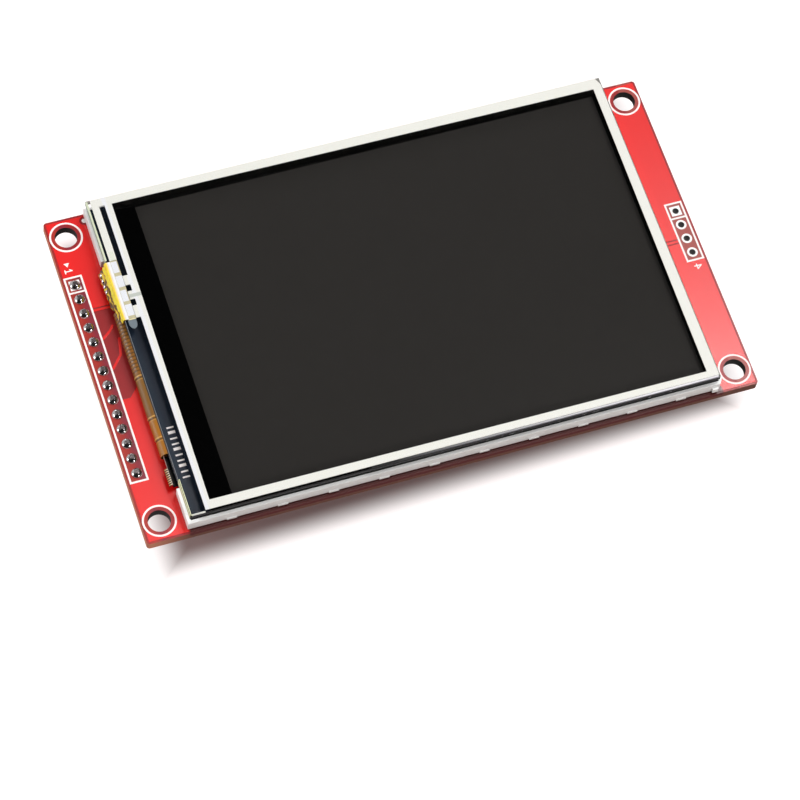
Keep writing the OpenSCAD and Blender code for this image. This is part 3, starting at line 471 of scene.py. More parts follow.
joints = {
    "count": 14, "segments": 36, "seed": 11,
    "rise": 0.62,  # height of the tallest joint
    "dome": 0.84,  # share of it that is the dome; the rest climbs the pin
    "domeSteps": 8,
    "spread": 0.01,  # how far the solder runs past its pad
    "wettedPin": "#8C8484",
}


def glassNylon():
    # glass-filled nylon of the header strip: satin black with a fine spark-eroded grain
    return startFinish("glassNylon", {
        "colour": "#1A1A1B", "shade": "#121213", "patchMm": 3, "roughness": 0.42,
        "grainMm": 0.08, "grainDepthMm": 0.01})


def flashGold():
    # flash gold on brass pins: warm and bright, but tinned grey where the solder wetted the cut end
    finish = startFinish("flashGold", {
        "colour": "#E6C069", "shade": "#CFA551", "patchMm": 1.2, "metallic": 1.0, "roughness": 0.24,
        "grainMm": 0.2, "grainDepthMm": 0.004})
    tint(finish, band(finish, "z", 0.0, 2.0, 0.02), joints["wettedPin"])
    return finish


def tinSolder():
    # tin solder frozen on a joint: near mirror bright, with faint flow marks
    return startFinish("tinSolder", {
        "colour": "#D8D6D6", "shade": "#B4B0B2", "patchMm": 0.6, "metallic": 1.0, "roughness": 0.11,
        "roughSpread": 0.02, "grainMm": 0.4, "grainDepthMm": 0.01})


def makeSolderJoints():
    # each joint swells from its pad and rounds over, then a fillet climbs the pin's end
    random.seed(joints["seed"])
    low = boxMm("header_solder")[0]
    padLow, padHigh = boxMm("header_pads")
    radius = (padHigh.x - padLow.x) / 2 + joints["spread"]
    mesh = bmesh.new()
    for i in range(joints["count"]):
        pinLow, pinHigh = boxMm("header_pin_%02d" % (i + 1))
        centre = ((pinLow.x + pinHigh.x) / 2, (pinLow.y + pinHigh.y) / 2, low.z)
        phase = random.uniform(0, 2 * math.pi)
        lift = joints["rise"] * random.uniform(0.92, 1.02)
        profile = [(radius, 0.0)]
        for k in range(1, joints["domeSteps"] + 1):
            angle = math.radians(10 * k)
            profile.append((radius * math.cos(angle) ** 0.9,
                            lift * joints["dome"] * math.sin(angle) ** 1.1))
        profile += [(radius * 0.14, lift * 0.9), (0.02, lift * 0.93)]
        addTurned(mesh, centre, profile, joints["segments"],
                  lambda angle: 0.03 * math.sin(2 * angle + phase) + 0.02 * math.sin(3 * angle - phase))
    piece = makePiece("solderJoints", mesh, tinSolder())
    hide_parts("header_solder")


dress("header_strip", glassNylon(), 0.05)
dress(" ".join("header_pin_%02d" % (i + 1) for i in range(joints["count"])), flashGold(), 0.06)
makeSolderJoints()
print("board and header ready")


# longSides is painted shade on the frame's long faces
housing = {"white": "#FFFFFE", "shade": "#F8F8F5", "longSides": "#D6D6D0", "speckleMm": 2.2}


def polycarbonate():
    # white moulded polycarbonate of the backlight frame: satin, with painted shade greying its long sides
    finish = startFinish("polycarbonate", {
        "colour": housing["white"], "shade": housing["shade"], "patchMm": 9, "roughness": 0.42,
        "grainMm": 0.12, "grainDepthMm": 0.006})
    speckle = addNode(finish["tree"], "TexNoise", {
        "Vector": finish["place"], "Scale": 1000 / housing["speckleMm"], "Detail": 3.0})
    # painted shade: the long sides greyed in mottled patches
    tint(finish, both(finish, facing(finish, "Y"), speckle.outputs[0], 0.8), housing["longSides"])
    return finish


dress("backlight_frame", polycarbonate(), 0.06)
# closed-cell polyethylene foam, skived to a tape: matt and finely pocked
dress("mounting_tape", startFinish("closedCellFoam", {
    "colour": "#D9D8D3", "shade": "#C4C3BD", "patchMm": 1, "roughness": 0.9,
    "grainMm": 0.15, "grainDepthMm": 0.06, "grainStrength": 1.0}))
# cast polyester reflector and diffuser films: very even white
dress("reflector_sheet diffuser_sheet prism_sheet", startFinish("opticalPolyester", {
    "colour": "#F4F5F6", "shade": "#ECEEF0", "patchMm": 8, "roughness": 0.35,
    "grainMm": 0.05, "grainDepthMm": 0.003}))
# moulded acrylic guide: smooth, and milky from its printed scattering dots
dress("light_guide", startFinish("acrylicGuide", {
    "colour": "#E4EEF0", "shade": "#D6E4E8", "patchMm": 10, "roughness": 0.1, "ior": 1.49,
    "grainMm": 0.3, "grainDepthMm": 0.004}), 0.05)
# phosphor silicone potted in the lamps: pale yellow and waxy
dress("backlight_lamps", startFinish("phosphorSilicone", {
    "colour": "#EDE3A6", "shade": "#E2D587", "patchMm": 0.8, "roughness": 0.3,
    "grainMm": 0.1, "grainDepthMm": 0.006}), 0.05)


ledge = {"blueBlack": "#1A2232", "shade": "#1D2633", "outer": "#22303E", "outerEdge": (-42.2, -41.2)}


def dyedPolyester():
    # thin dyed polyester tape over the driver's ledge: blue-black, with a painted highlight by the outer
    # edge
    finish = startFinish("dyedPolyester", {
        "colour": ledge["blueBlack"], "shade": ledge["shade"], "patchMm": 4, "roughness": 0.22,
        "grainMm": 0.4, "grainDepthMm": 0.004})
    # painted highlight along the outer edge
    tint(finish, both(finish, band(finish, "x", *ledge["outerEdge"], 0.4), 0.4), ledge["outer"])
    return finish


dress("side_tape ledge_tape", dyedPolyester(), 0.02)
# dyed stretched film under a hard coat: flat dark grey with a clean gloss
dress("rear_polariser front_polariser", startFinish("dyedPolariser", {
    "colour": "#32302E", "shade": "#312F2D", "patchMm": 30, "roughness": 0.05,
    "roughSpread": 0.01, "grainMm": 0.3, "grainDepthMm": 0.0003}))
# cut cell glass, black from the matrix behind it, with a bottle-green cast
dress("rear_glass front_glass", startFinish("cellGlass", {
    "colour": "#07090A", "shade": "#0C1110", "patchMm": 3, "roughness": 0.1,
    "grainMm": 0.2, "grainDepthMm": 0.002}), 0.02)
# polished silicon back of the driver: grey with a blue cast
dress("driver_chip", startFinish("polishedSilicon", {
    "colour": "#4A4C55", "shade": "#3E4048", "patchMm": 1, "metallic": 0.6, "roughness": 0.2,
    "grainMm": 0.2, "grainDepthMm": 0.002}), 0.02)


flex = {
    "ribMm": 0.62,  # pitch of the tracks that show as ribs
    "ribDepth": 0.035,
    "bow": 0.03, "bowTurns": 0.55, "pull": 0.05,  # a slack bow along the film, and how far it pulls in
    "ribEnd": -1.6, "ribStart": 9.6,  # the film is smooth in front of the one y and behind the other
    "creases": (-2.0, -9.1, -12.7),
    # painted highlights and shade across a crease: from and to, weight and colour
    "creaseHighlightsAndShade": ((-0.05, 0.16, 0.8, "#E0B064"), (-0.40, -0.14, 0.8, "#4A2C0A"),
                    (-0.62, -0.46, 0.45, "#E0B064")),
    # how high the film stands or dips at a crease, and how far from it
    "creaseSwells": ((0.06, 0.05), (-0.10, -0.27)), "creaseWide": 0.12,
    # stretches of another shade: from and to, blur and colour
    "stretches": ((-9.0, -2.1, 0.5, "#7A5A2C"), (-15.8, -9.3, 0.3, "#B87414")),
    "amber": "#96621E", "shade": "#85561A", "dark": "#4A2C0A",
    "sheet": 0.08, "stepMm": 0.09, "turnSteps": 18,
    "overlap": 0.75,  # how far the film runs past its solder row at each end
    "tuck": (7.0, 3.0, 0.6), "landing": (-0.1, 0.6),  # how far it runs under the frame and onto the glass
}


def polyimide():
    # rolled copper under amber polyimide: brown-gold, ribbed by its tracks, with a painted highlight and
    # painted shade at each crease
    finish = startFinish("polyimide", {
        "colour": flex["amber"], "shade": flex["shade"], "patchMm": 2.5, "roughness": 0.3,
        "grainMm": 0.5, "grainDepthMm": 0.01, "coat": 0.3, "coatRoughness": 0.15})
    ribbed = band(finish, "y", flex["ribEnd"], flex["ribStart"], 0.5)
    tint(finish, both(finish, waves(finish, "y", flex["ribMm"], -0.2, 0.9), ribbed, 0.8), flex["dark"])
    for start, end, blur, colour in flex["stretches"]:
        tint(finish, both(finish, band(finish, "y", start, end, blur), 0.55), colour)
    # painted highlights and shade at each crease
    for place in flex["creases"]:
        for start, end, weight, colour in flex["creaseHighlightsAndShade"]:
            tint(finish, both(finish, band(finish, "y", place + start, place + end, 0.06), weight), colour)
    return finish


def makeFlex():
    # the flex leaves the glass ledge, folds round beside the frame and tucks under it
    low, high = boxMm("display_cable")
    glassLow = boxMm("rear_glass")[0]
    solderLow, solderHigh = boxMm("cable_solder")
    yLow, yHigh = solderLow.y - flex["overlap"], solderHigh.y + flex["overlap"]
    foot, top = low.z + flex["sheet"] / 2, high.z - flex["sheet"] / 2
    radius = (top - foot) / 2
    turnX = low.x + radius + flex["sheet"] / 2
    steps = int((yHigh - yLow) / flex["stepMm"])
    rows = []
    for s in range(steps + 1):
        y = yLow + (yHigh - yLow) * s / steps
        ribbed = min(1, max(0, y - flex["ribEnd"]))
        swell = flex["ribDepth"] * math.sin(2 * math.pi * y / flex["ribMm"]) * ribbed
        for place in flex["creases"]:
            for rise, shift in flex["creaseSwells"]:
                swell += rise * math.exp(-((y - place - shift) / flex["creaseWide"]) ** 2)
        swell += flex["bow"] * math.sin(y * flex["bowTurns"]) - flex["pull"]
        row = [(turnX + along, y, foot) for along in flex["tuck"]]
        for k in range(flex["turnSteps"] + 1):
            turn = math.pi * k / flex["turnSteps"]
            reach = radius + swell * math.sin(turn)
            row.append((turnX - reach * math.sin(turn), y, foot + radius - reach * math.cos(turn)))
        rows.append(row + [(glassLow.x + along, y, top) for along in flex["landing"]])
    mesh = bmesh.new()
    addSheet(mesh, rows)
    piece = makePiece("displayFlex", mesh, polyimide(), flex["sheet"])
    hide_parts("display_cable")


wings = {
    # how far outwards from the fingers' plane, and how high, the folded flex runs: a web beside the
    # frame, a wall, then a crest with the end leaf bent outwards over it
    "web": ((-0.72, 0.85), (-0.35, 0.8), (-0.08, 0.9), (0.0, 1.2), (0.01, 1.6)),
    "leaf": ((0.03, 1.74), (0.10, 1.76), (0.24, 1.68), (0.40, 1.56), (0.56, 1.40)),
    "count": 8, "width": 0.14,
    "firstMm": -0.2, "lastMm": 0.75,  # where the row of fingers starts and ends, inwards
    "marginMm": 0.1, "stopMm": 0.6, "steps": 12,
    # the crest's two colours are a painted highlight and a painted glint
    "crestHighlight": "#E0B4AC", "leafBrown": "#341A0A", "crestGlint": "#FFFCE0",
}


def makeWings():
    # the flex's spare end folds up the frame's wall and shows bare gold fingers on its outer leaf
    fingerLow, fingerHigh = boxMm("cable_fingers")
    solderLow = boxMm("cable_solder")[0]
    face = fingerHigh.x
    mesh = bmesh.new()
    low, high = fingerLow.y + wings["firstMm"], fingerHigh.y - wings["lastMm"]
    leafEnd = high + wings["marginMm"]
    for yLow, yHigh, curve in (
            (low - wings["marginMm"], leafEnd, wings["web"] + wings["leaf"]),
            (leafEnd, solderLow.y - wings["stopMm"], wings["web"] + wings["leaf"][:2])):
        addSheet(mesh, [[(face - out, yLow + (yHigh - yLow) * k / wings["steps"], z) for out, z in curve]
                        for k in range(wings["steps"] + 1)])
    # carbon-black adhesive side of the folded polyimide, with a painted highlight along its crest
    finish = startFinish("coatedPolyimide", {
        "colour": "#1C1614", "shade": "#14110F", "patchMm": 1.5, "roughness": 0.45,
        "grainMm": 0.3, "grainDepthMm": 0.01})
    # painted highlight along the crest
    tint(finish, band(finish, "z", 1.68, 1.9, 0.03), wings["crestHighlight"])
    tint(finish, both(finish, band(finish, "x", -44, face - 0.08, 0.02),
                      band(finish, "z", 1.3, 1.9, 0.05)), wings["leafBrown"])
    makePiece("flexWings", mesh, finish, 0.04)
    pitch = (high - low - wings["width"]) / (wings["count"] - 1)
    mesh = bmesh.new()
    for i in range(wings["count"]):
        addSheet(mesh, [[(face - out, low + i * pitch + wings["width"] * k / 4, z + 0.04)
                         for out, z in wings["leaf"]] for k in range(5)])
    # gold-flashed copper: saturated yellow, satin where it was pressed flat, with a painted glint on the
    # crest
    finish = startFinish("goldFingers", {
        "colour": "#E8AE70", "shade": "#D89C58", "patchMm": 0.6, "metallic": 0.1, "roughness": 0.35,
        "grainMm": 0.25, "grainDepthMm": 0.01})
    # painted glint on the crest
    tint(finish, band(finish, "z", 1.72, 2.0, 0.05), wings["crestGlint"])
    piece = makePiece("contactFingers", mesh, finish, 0.035)
    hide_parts("cable_fingers")


makeFlex()
makeWings()
dress("cable_solder", tinSolder(), 0.02)
dress("lamp_strip", polyimide(), 0.02)
print("display and flex ready")


panel = {
    "inkWhite": "#E9E8E0", "inkShade": "#E5E4DC", "filmLift": 0.015,
    "legCool": "#E9EAF4", "tapeGreen": "#DDE2CF", "tapeGrey": "#BFC3BA",
    "leg": (-39.9, -39.25),  # the outer leg's cool half, in x
    # painted light and shade along the glass's top arris
    "rimGrey": "#7E848A", "rimGreen": "#CBD3B6", "rimLavender": "#E8E7EC", "rimCream": "#E3E6BE",
    "rimOlive": "#4E4F2A", "rimDark": "#08090A", "rimCorner": "#CFD0CA",
    "rimProud": 0.012,  # how far those edges stand above the glass
    "rimWide": 0.27,
    # painted light and shade on the glass's snapped edges
    "edgeEndsShade": "#23292D", "edgeFarLight": "#C9CFC4", "edgeBackLeft": "#B4CAB7", "edgeFrontLeft": "#D8DCB2",
    "edgeFrontShade": "#050607", "edgeHighlight": "#C4C4CE", "edgeLine": "#55595C", "edgeChipGlints": "#C6CBC8",
    "backLeft": 16.9, "frontLeft": -21.2,  # y where the left edge's two painted lit stretches start
    "chipMm": 0.9,
    "litFrom": -12, "litTo": 34,  # the painted highlight on the front edge grows from one x to the other
}


def floatGlass():
    # clear float glass: nearly unseen from above, its scored edges painted with light and shade,
    # grey-green, dark, and in places lit as from behind
    finish = startFinish("floatGlass", {
        "colour": "#121617", "shade": "#0E1213", "patchMm": 4, "roughness": 0.06,
        "roughSpread": 0.02, "grainMm": 0.6, "grainDepthMm": 0.002})
    tree = finish["tree"]
    base, top = (corner.z for corner in boxMm("touch_glass"))
    ends, longSides = facing(finish, "X"), facing(finish, "Y")
    right, left = (both(finish, ends, band(finish, "x", *half)) for half in ((0, 50), (-50, 0)))
    back, front = (both(finish, longSides, band(finish, "y", *half)) for half in ((0, 50), (-50, 0)))
    # painted shade on the ends and painted light on the far sides
    tint(finish, ends, panel["edgeEndsShade"])
    tint(finish, back, panel["edgeFarLight"])
    tint(finish, right, panel["edgeFarLight"])
    # on the left, the stretch behind the tail and the one in front of the cable get painted light
    tint(finish, both(finish, left, band(finish, "y", panel["backLeft"], 50, 0.1)), panel["edgeBackLeft"])
    tint(finish, both(finish, left, band(finish, "y", -50, panel["frontLeft"], 0.1)),
         panel["edgeFrontLeft"])
    # painted shade on the front face
    tint(finish, front, panel["edgeFrontShade"])
    # painted highlight along the top of the front face, growing towards the right
    lit = addNode(tree, "MapRange", {"Value": finish["x"], "From Min": panel["litFrom"] * mm,
                                     "From Max": panel["litTo"] * mm})
    tint(finish, both(finish, front, lit, band(finish, "z", top - 0.27, top + 0.15, 0.08), 0.9),
         panel["edgeHighlight"])
    tint(finish, both(finish, front, band(finish, "z", base + 0.35, base + 0.47, 0.04),
                      band(finish, "x", -50, 0, 6), 0.6), panel["edgeLine"])
    # painted glints on chips in the front face's lit stretch
    chips = addNode(tree, "TexNoise", {"Vector": finish["place"], "Scale": 1000 / panel["chipMm"],
                                       "Detail": 2.0})
    specks = addNode(tree, "MapRange", {"Value": chips.outputs[0], "From Min": 0.6, "From Max": 0.7})
    tint(finish, both(finish, front, lit, specks, band(finish, "z", base + 0.15, base + 0.37, 0.05), 0.85),
         panel["edgeChipGlints"])
    sides = addNode(tree, "Math", {"operation": "SUBTRACT", 0: 1.0, 1: facing(finish, "Z")})
    # smooth on top, matt where it was scored and snapped
    rough = addNode(tree, "MapRange", {"Value": sides, "To Min": 0.06, "To Max": 0.85})
    tree.links.new(rough.outputs[0], finish["shader"].inputs["Roughness"])
    alpha = addNode(tree, "MapRange", {"Value": sides, "To Min": 0.03, "To Max": 0.88})
    tree.links.new(alpha.outputs[0], finish["shader"].inputs["Alpha"])
    return finish


def borderInk():
    # white ink screen-printed behind the top film: dead even, a touch warm, cooler along the outer leg
    finish = startFinish("borderInk", {
        "colour": panel["inkWhite"], "shade": panel["inkShade"], "patchMm": 6, "roughness": 0.45,
        "grainMm": 0.1, "grainDepthMm": 0.001})
    tint(finish, both(finish, band(finish, "x", *panel["leg"], 0.1), 0.55), panel["legCool"])
    # clear tape under the film: pale green above the tail's head, grey where it crosses the leg
    tint(finish, both(finish, band(finish, "x", -41.4, -40.7, 0.05),
                      band(finish, "y", 16.7, 18.5, 0.05), 0.7), panel["tapeGreen"])
    tint(finish, both(finish, band(finish, "x", -40.6, -38.5, 0.05),
                      band(finish, "y", 10.05, 10.65, 0.08)), panel["tapeGrey"])
    return finish


def makeCoatFilm():
    # the hard-coated top film, held a hair above the ink by its adhesive
    mesh = bmesh.new()
    mesh.from_mesh(nodes["touch_film"].data)
    underside = boxMm("touch_border")[1].z * mm
    for vertex in mesh.verts:
        if vertex.co.z < underside + 0.02 * mm:
            vertex.co.z += panel["filmLift"] * mm
    # stretched polyester with a sprayed hard coat: clear, only its edge and its gloss show
    film = makePiece("coatFilm", mesh, startFinish("hardCoatPolyester", {
        "colour": "#161616", "shade": "#141414", "patchMm": 20, "roughness": 0.06, "roughSpread": 0.02,
        "grainMm": 0.5, "grainDepthMm": 0.0005, "alpha": 0.025}), flat=True)
    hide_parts("touch_film")


def makeRims():
    # what shows along the scored left edge of the panel: the ground arris and painted highlights at the
    # ends
    glassLow, glassHigh = boxMm("touch_glass")
    tailLow, tailHigh = boxMm("touch_tail")
    fingerLow = boxMm("cable_fingers")[0]
    edge, top, crest = glassLow.x, glassHigh.z, glassHigh.z + panel["rimProud"]
    mesh = bmesh.new()
    addBlock(mesh, (edge - 0.01, edge + 0.07), (fingerLow.y - 0.6, tailLow.y - 0.1), (top - 0.06, crest))
    # ground glass edge: matt, pale partly from its grinding and partly as a painted highlight
    makePiece("glassArris", mesh, startFinish("groundGlass", {
        "colour": panel["rimGrey"], "shade": "#6A7076", "patchMm": 2, "roughness": 0.6,
        "grainMm": 0.2, "grainDepthMm": 0.01}))
    # painted highlights: in front of the cable, the front-left corner, behind the tail, and the front edge
    stretches = (
        ((edge - 0.01, edge + 0.26), (glassLow.y + 0.05, fingerLow.y - 0.7), 0.06),
        ((edge + 0.3, edge + 2.4), (glassLow.y - 0.01, glassLow.y + 0.2), 0.25),
        ((edge - 0.01, edge + panel["rimWide"]), (tailHigh.y + 0.25, glassHigh.y - 0.15), 0.06),
        ((-14, glassHigh.x - 0.3), (glassLow.y + 0.02, glassLow.y + 0.28), 0.05))
    mesh = bmesh.new()
    for x, y, deep in stretches:
        addBlock(mesh, x, y, (top - deep, crest))
    # painted light and shade on the cut glass edges, with the white frame's light in it
    finish = startFinish("glassEdgeHighlight", {
        "colour": panel["rimCream"], "shade": "#DADCB4", "patchMm": 1.5, "roughness": 0.4,
        "grainMm": 0.3, "grainDepthMm": 0.01})
    tint(finish, both(finish, band(finish, "x", edge + 0.06, edge + 0.15, 0.01),
                      band(finish, "y", -30, 0, 0.1)), panel["rimOlive"])
    for axis, start, end, blur, colour in (
            ("y", 10, 30, 0.1, "rimGreen"), ("x", -39, 50, 0.1, "rimDark"),
            ("x", 12, 60, 22, "rimLavender"), ("x", edge + 0.4, -39, 0.1, "rimCorner")):
        tint(finish, band(finish, axis, start, end, blur), panel[colour])
    makePiece("edgeHighlights", mesh, finish)


# black cast acrylic foam: swallows nearly all light, but has the gloss of the glass over it
dress("touch_gasket", startFinish("gasketFoam", {
    "colour": "#010101", "shade": "#000000", "patchMm": 2, "roughness": 0.05,
    "roughSpread": 0.01, "grainMm": 0.3, "grainDepthMm": 0.0003}))
dress("touch_glass", floatGlass(), 0.03)
dress("touch_border", borderInk())
makeCoatFilm()
makeRims()


tail = {
    # bright, orange and line are painted highlight and shade colours for the folds
    "yellow": "#F4C02A", "bright": "#FFF040", "orange": "#D88A20", "line": "#4A2608", "edge": "#EBD8C2",
    "beige": "#CFC6A2", "padWhite": "#ECEDF2", "across": 96, "down": 40,
    "landing": 1.0,  # height of the ribbon's foot above the board
    "flare": 0.72,  # how far the foot stands out from the glass edge
    "lie": 0.72, "lift": 0.03,  # how far it reaches in over the glass, and how high it lies
    "bend": 0.14,  # radius of its bend over the glass's edge
    "lieShare": 0.1, "bendShare": 0.22,  # shares of its fall where it leaves the glass and has bent down
    "crush": 0.17, "crushMm": 0.95,  # height and pitch of the large folds
    # small ripples: height, turns along the edge and turns down the fall, in radians
    "ripples": ((0.05, 4.3, 9), (0.03, 8.1, -6)),
    "foldSlope": 0.10, "foldMiddle": 11.7,
    "crumpleMm": 2.4, "wanderMm": 0.48,  # size of the crumples, and how far they push the creases about
    # painted shade in the creases and painted highlights on the rises between them, as (low, high) on the
    # fold scale
    "creases": ((2.42, 2.82), (1.55, 1.82), (1.0, 1.2)), "swellHighlights": ((3.05, 3.75), (1.9, 2.25)),
    "flatFrom": 4.06,  # height above which the ribbon lies flat on the glass
    "edgeFrom": -42.22, "padFrom": -42.0,  # where its pale edge and its white coverlay start there
}


def goldRibbon():
    # yellow polyimide over gold-flashed copper, with painted highlights on its folds and painted orange
    # shade where it turns away
    finish = startFinish("goldRibbon", {
        "colour": tail["yellow"], "shade": tail["bright"], "patchMm": 1.3, "roughness": 0.28,
        "roughSpread": 0.08, "grainMm": 0.7, "grainDepthMm": 0.04, "grainStrength": 0.7})
    tree = finish["tree"]
    # the folds slope down the ribbon and wander, so they are banded by height, place and a noise
    slope = addNode(tree, "Math", {"operation": "MULTIPLY_ADD", 0: finish["y"], 1: tail["foldSlope"],
                                   2: finish["z"]})
    crumple = addNode(tree, "TexNoise", {"Vector": finish["place"], "Scale": 1000 / tail["crumpleMm"],
                                         "Detail": 1.0})
    wander = addNode(tree, "MapRange", {"Value": crumple.outputs[0], "From Min": 0.3, "From Max": 0.7,
                                        "To Min": -tail["wanderMm"] * mm, "To Max": tail["wanderMm"] * mm})
    slope = addNode(tree, "Math", {"operation": "ADD", 0: slope, 1: wander})
    finish["fold"] = addNode(tree, "Math", {"operation": "SUBTRACT", 0: slope,
                                            1: tail["foldSlope"] * tail["foldMiddle"] * mm})
    # painted orange shade where the ribbon turns away, painted highlights on its rises and painted shade in
    # its creases
    tint(finish, both(finish, band(finish, "fold", -2.0, 2.6, 0.25), 0.6), tail["orange"])
    for low, high in tail["swellHighlights"]:
        tint(finish, both(finish, band(finish, "fold", low, high, 0.12), 0.85), tail["bright"])
    for low, high in tail["creases"]:
        tint(finish, both(finish, band(finish, "fold", low, high, 0.06), 0.95), tail["line"])
    flat = tail["flatFrom"]
    tint(finish, both(finish, band(finish, "z", flat, 5.0, 0.04),
                      band(finish, "x", tail["edgeFrom"], -40, 0.05), 0.9), tail["edge"])
    tint(finish, both(finish, band(finish, "z", flat, 5.0, 0.06),
                      band(finish, "x", tail["padFrom"], -40, 0.06)), tail["padWhite"])
    return finish


def tailPoint(fall, side):
    # fall runs from the glass (0) to the foot (1); side runs along the glass edge
    glassLow, glassHigh = boxMm("touch_glass")
    low, high = boxMm("touch_tail")
    top, bend = glassHigh.z + tail["lift"], tail["bend"]
    hang = glassLow.x - 0.02
    reach = min(1, 0.28 + 1.5 * side)  # one end of the foot is tucked in, the other flares out
    footX = hang - bend - tail["flare"] * reach
    footZ = top - (top - tail["landing"]) * reach
    lieShare, bendShare = tail["lieShare"], tail["bendShare"]
    if fall < lieShare:
        x, z = glassLow.x + tail["lie"] - (tail["lie"] + 0.02) * fall / lieShare, top
    elif fall < bendShare:
        turn = (fall - lieShare) / (bendShare - lieShare) * math.pi / 2
        x, z = hang - bend * math.sin(turn), top - bend + bend * math.cos(turn)
    else:
        part = (fall - bendShare) / (1 - bendShare)
        x = hang - bend + (footX - hang + bend) * part ** 1.3
        z = top - bend + (footZ - top + bend) * part
    y = low.y + 0.05 + (high.y - low.y - 0.1) * side
    loose = min(1, max(0, (fall - 0.15) / 0.2))
    crush = tail["crush"] * math.sin((z + tail["foldSlope"] * y) * 2 * math.pi / tail["crushMm"]) * reach
    crush += sum(height * math.sin(y * along + fall * down) for height, along, down in tail["ripples"])
    return x + loose * (crush - 0.03), y, z + 0.25 * loose * crush


def makeTail():
    # the head lies on the glass under the film; the ribbon bends over the edge and hangs, crushed
    low, high = boxMm("touch_tail")
    padLow = boxMm("tail_contact_pads")[0]
    glassHigh = boxMm("touch_glass")[1]
    mesh = bmesh.new()
    addBlock(mesh, (padLow.x - 0.04, high.x), (low.y, high.y), (glassHigh.z, padLow.z), 0.015)
    # tacky acrylic film under the head's contacts: matt beige
    makePiece("tailHead", mesh, startFinish("acrylicAdhesive", {
        "colour": tail["beige"], "shade": "#BDB48C", "patchMm": 0.9, "roughness": 0.5,
        "grainMm": 0.3, "grainDepthMm": 0.01}))
    mesh = bmesh.new()
    addSheet(mesh, [[tailPoint(i / tail["down"], j / tail["across"]) for j in range(tail["across"] + 1)]
                    for i in range(tail["down"] + 1)])
    ribbon = makePiece("tailRibbon", mesh, goldRibbon(), 0.05)
    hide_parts("touch_tail")


beads = {
    "count": 4, "radius": 0.42, "rise": 0.27, "tiltDegrees": -62,
    "fluxGrow": 1.22, "fluxSink": 0.07,
    "inward": 0.20, "above": 0.34,  # from the solids' outer face and from their middle height
}


def makeBeads():
    # four solder beads join the ribbon to the flex, each in a dark ring of flux
    low, high = boxMm("tail_solder")
    step = (high.y - low.y - 2 * beads["radius"]) / (beads["count"] - 1)
    turn = Matrix.Rotation(math.radians(beads["tiltDegrees"]), 4, "Y")
    solder, flux = bmesh.new(), bmesh.new()
    for i in range(beads["count"]):
        for mesh, grow, sink in ((solder, 1.0, 0.0), (flux, beads["fluxGrow"], beads["fluxSink"])):
            profile = [(beads["radius"] * grow * math.cos(math.radians(a)),
                        beads["rise"] * grow * math.sin(math.radians(a))) for a in range(0, 90, 10)]
            made = addTurned(mesh, (0, 0, 0), profile, 20)
            shift = Vector((low.x + beads["inward"] + sink, low.y + beads["radius"] + i * step,
                            (low.z + high.z) / 2 + beads["above"] - sink)) * mm
            for vertex in made:
                vertex.co = turn @ vertex.co + shift
    piece = makePiece("tailBeads", solder, tinSolder())
    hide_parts("tail_solder")
    # burnt rosin flux round each bead: glassy dark brown
    makePiece("fluxRings", flux, startFinish("burntRosin", {
        "colour": "#2A1A0C", "shade": "#1A1008", "patchMm": 0.5, "roughness": 0.25,
        "grainMm": 0.2, "grainDepthMm": 0.01}))


scraps = {
    "tapeMiddle": -41.22, "tapeHalf": 0.63, "tapeLength": 1.55,
    "squareShare": 0.35,  # share of the tape's length before its end rounds off
    "bead": (-41.75, -40.55), "beadHigh": 0.07,
}


def makeHeadScraps():
    # a trimmed tape end below the head, and adhesive squeezed out under it
    low = boxMm("touch_tail")[0]
    top = boxMm("touch_glass")[1].z
    square = scraps["squareShare"]
    rows = []
    for k in range(9):
        narrow = max(0, k / 8 - square) / (1 - square)
        half = scraps["tapeHalf"] * math.sqrt(max(0.02, 1 - narrow ** 2))
        y = low.y - 0.15 - scraps["tapeLength"] * k / 8
        rows.append([(scraps["tapeMiddle"] + half * (j / 5 - 1), y, top + 0.02 + 0.005 * math.sin(j))
                     for j in range(11)])
    mesh = bmesh.new()
    addSheet(mesh, rows)
    # frosted acetate tape, cast and cut: grey-blue and satin
    makePiece("tapeEnd", mesh, startFinish("frostedAcetate", {
        "colour": "#6C7880", "shade": "#5E6A74", "patchMm": 0.8, "roughness": 0.5,
        "grainMm": 0.2, "grainDepthMm": 0.01}), 0.02)
    mesh = bmesh.new()
    addBlock(mesh, scraps["bead"], (low.y - 0.14, low.y + 0.02), (top, top + scraps["beadHigh"]), 0.02)
    # cured adhesive squeezed from under the head: cream
    makePiece("adhesiveBead", mesh, startFinish("curedAdhesive", {
        "colour": "#F2E6B8", "shade": "#D9CF9A", "patchMm": 0.4, "roughness": 0.35,
        "grainMm": 0.2, "grainDepthMm": 0.01}))


# white flex coverlay over the head's contacts: cool and even
dress("tail_contact_pads", startFinish("coverlay", {
    "colour": tail["padWhite"], "shade": "#E2E4EA", "patchMm": 0.8, "roughness": 0.45,
    "grainMm": 0.1, "grainDepthMm": 0.002}))
makeTail()
makeBeads()
makeHeadScraps()
print("touch panel ready")


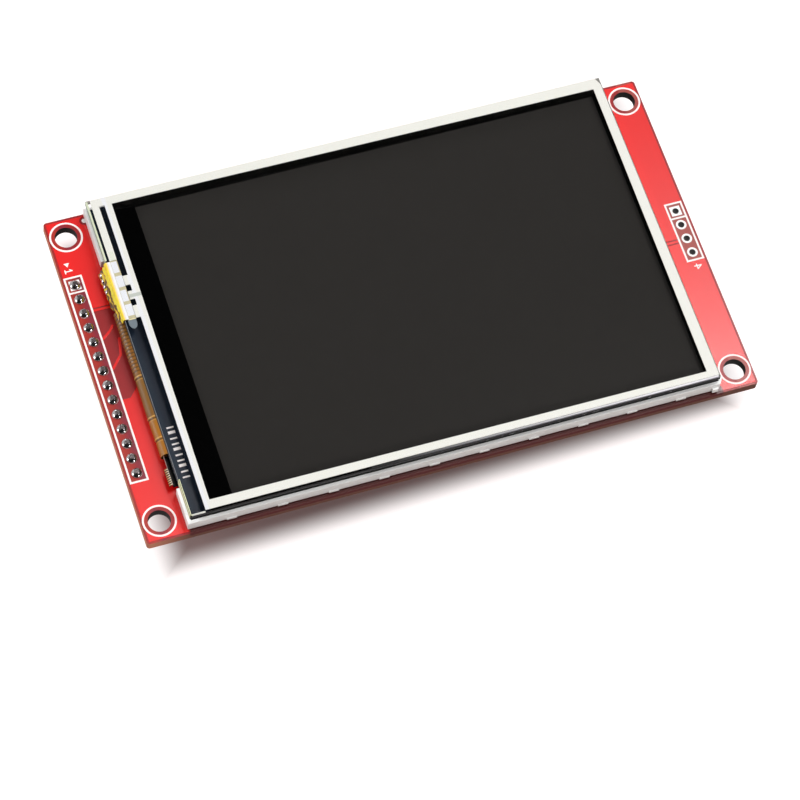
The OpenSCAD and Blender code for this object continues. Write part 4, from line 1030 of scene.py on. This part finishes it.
shell = {"bright": "#C8CACB", "shade": "#B4B6B8", "lineMm": 0.1, "runMm": 8}


def tinnedSteel():
    # tin-plated steel sheet: bright, with fine rolling lines along the sheet
    finish = startFinish("tinnedSteel", {
        "colour": shell["bright"], "shade": shell["shade"], "patchMm": 5, "metallic": 1.0, "roughness": 0.3,
        "grainMm": 0.3, "grainDepthMm": 0.003})
    tree = finish["tree"]
    # rolling lines, close across the sheet and long down it
    stretch = addNode(tree, "CombineXYZ", {
        "X": both(finish, finish["x"], 1000 / shell["lineMm"]),
        "Y": both(finish, finish["y"], 1000 / shell["runMm"]), "Z": finish["z"]})
    rolled = addNode(tree, "TexNoise", {"Vector": stretch, "Scale": 1.0, "Detail": 2.0})
    lines = addNode(tree, "Bump", {"Height": rolled.outputs[0], "Strength": 0.6, "Distance": 0.004 * mm,
                                   "Normal": finish["bump"]})
    tree.links.new(lines.outputs[0], finish["shader"].inputs["Normal"])
    return finish


# glass-filled liquid-crystal polymer, injection moulded: satin black with flow marks
dress("socket_base", startFinish("crystalPolymer", {
    "colour": "#17171A", "shade": "#202024", "patchMm": 4, "roughness": 0.5,
    "grainMm": 0.12, "grainDepthMm": 0.01}), 0.04)
dress("socket_shell", tinnedSteel(), 0.06)
dress("socket_contacts", flashGold(), 0.02)
# moulded epoxy of the chips: near black with a fine matt grain
dress("touch_controller voltage_regulator backlight_switch resistors", startFinish("chipEpoxy", {
    "colour": "#1B1B1C", "shade": "#222223", "patchMm": 2, "roughness": 0.62,
    "grainMm": 0.06, "grainDepthMm": 0.01}), 0.04)
# matt electroplated tin
dress("chip_leads chip_ends", startFinish("mattTin", {
    "colour": "#D4D4D2", "shade": "#BDBDBB", "patchMm": 0.4, "metallic": 1.0, "roughness": 0.32,
    "grainMm": 0.1, "grainDepthMm": 0.004}), 0.02)
# fired barium titanate: tan, with a slight gloss
dress("capacitors", startFinish("firedCeramic", {
    "colour": "#B08A5E", "shade": "#9C774C", "patchMm": 0.5, "roughness": 0.38,
    "grainMm": 0.1, "grainDepthMm": 0.004}), 0.03)
print("underside ready")
